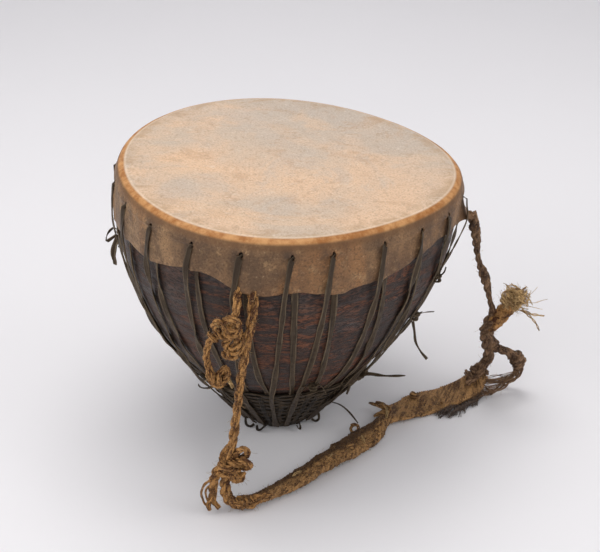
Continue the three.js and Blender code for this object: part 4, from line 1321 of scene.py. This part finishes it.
# The length of each free cord's route is worked out and its points are sampled; nothing is kept.
run_length(LEFT_ROUTE)
sampled(LEFT_ROUTE, .004)
run_length(HANGER_ROUTE)
sampled(HANGER_ROUTE, .004)
run_length(BAND_ROUTE)
sampled(BAND_ROUTE, .004)
run_length(RIGHT_ROUTE)
sampled(RIGHT_ROUTE, .004)
run_length(LOOP_ROUTE)
sampled(LOOP_ROUTE, .004)

# ---------------------------------------------------------------------------- floor and light
# A pale paper sweep, with one broad soft light overhead and three weaker ones round it.

SWEEP_FRONT, SWEEP_BACK, SWEEP_WIDE, SWEEP_HIGH, SWEEP_BEND = -3.0, 2.9, 4.0, 3.4, 1.2
sweep_rows = [(SWEEP_FRONT, 0.0), (SWEEP_BACK - SWEEP_BEND, 0.0)]
for k in range(1, 13):
    turn = math.pi / 2 * k / 12
    sweep_rows.append((SWEEP_BACK - SWEEP_BEND * (1 - math.sin(turn)), SWEEP_BEND * (1 - math.cos(turn))))
sweep_rows.append((SWEEP_BACK, SWEEP_HIGH))
sweep_mesh = bpy.data.meshes.new("paper_sweep")
sweep_mesh.from_pydata(
    [(side * SWEEP_WIDE, y, z) for y, z in sweep_rows for side in (-1, 1)], [],
    [(2 * k, 2 * k + 1, 2 * k + 3, 2 * k + 2) for k in range(len(sweep_rows) - 1)])
sweep_mesh.shade_smooth()
sweep = put("paper_sweep", sweep_mesh)
paper = Finish("pale paper", Specular_IOR_Level=0.2)
paper.feed(paper.noise(1.2, 2).mix((.80, .79, .81), (.83, .82, .84)), paper.noise(3).between(0, 1, .8, .9))
paint(sweep, paper)

CAMERA_AT, CAMERA_TILT = (.02637, -1.6372, 1.0867), 61.353
CAMERA_LENS, CAMERA_SENSOR = 92.58, 36      # millimetres
ROOM_COLOUR, ROOM_GLOW = (.97, .965, 1.0, 1), 0.36
LIGHTS = [  # name, place, aim, size, watts, colour
    ("overhead_soft_box", (-.10, .35, 2.3), (0, 0, .1), 1.5, 28.0, (1.0, .985, .97)),
    ("left_fill", (-2.6, -1.2, 1.6), (0, 0, .15), 2.0, 30.0, (1.0, .99, .98)),
    ("right_fill", (2.6, -.6, 1.5), (0, 0, .15), 1.8, 18.0, (1.0, .99, .98)),
    ("front_fill", (-.2, -3.0, 2.0), (0, 0, .1), 2.4, 25.0, (1.0, .99, .98)),
]
for name, where, aim, wide, watts, colour in LIGHTS:
    lamp = bpy.data.lights.new(name, "AREA")
    lamp.size, lamp.energy, lamp.color = wide, watts, colour
    holder = put(name, lamp)
    holder.location = where
    holder.rotation_euler = (Vector(aim) - Vector(where)).to_track_quat("-Z", "Y").to_euler()
world = bpy.data.worlds.new("soft room")
world.use_nodes = True
world.node_tree.nodes["Background"].inputs["Color"].default_value = ROOM_COLOUR
world.node_tree.nodes["Background"].inputs["Strength"].default_value = ROOM_GLOW
bpy.context.scene.world = world
bpy.context.scene.view_settings.view_transform = "Standard"

camera = bpy.data.cameras.new("camera")
camera.lens, camera.sensor_width = CAMERA_LENS, CAMERA_SENSOR
eye = put("camera", camera)
eye.location = CAMERA_AT
eye.rotation_euler = (math.radians(CAMERA_TILT), 0, 0)
bpy.context.scene.camera = eye
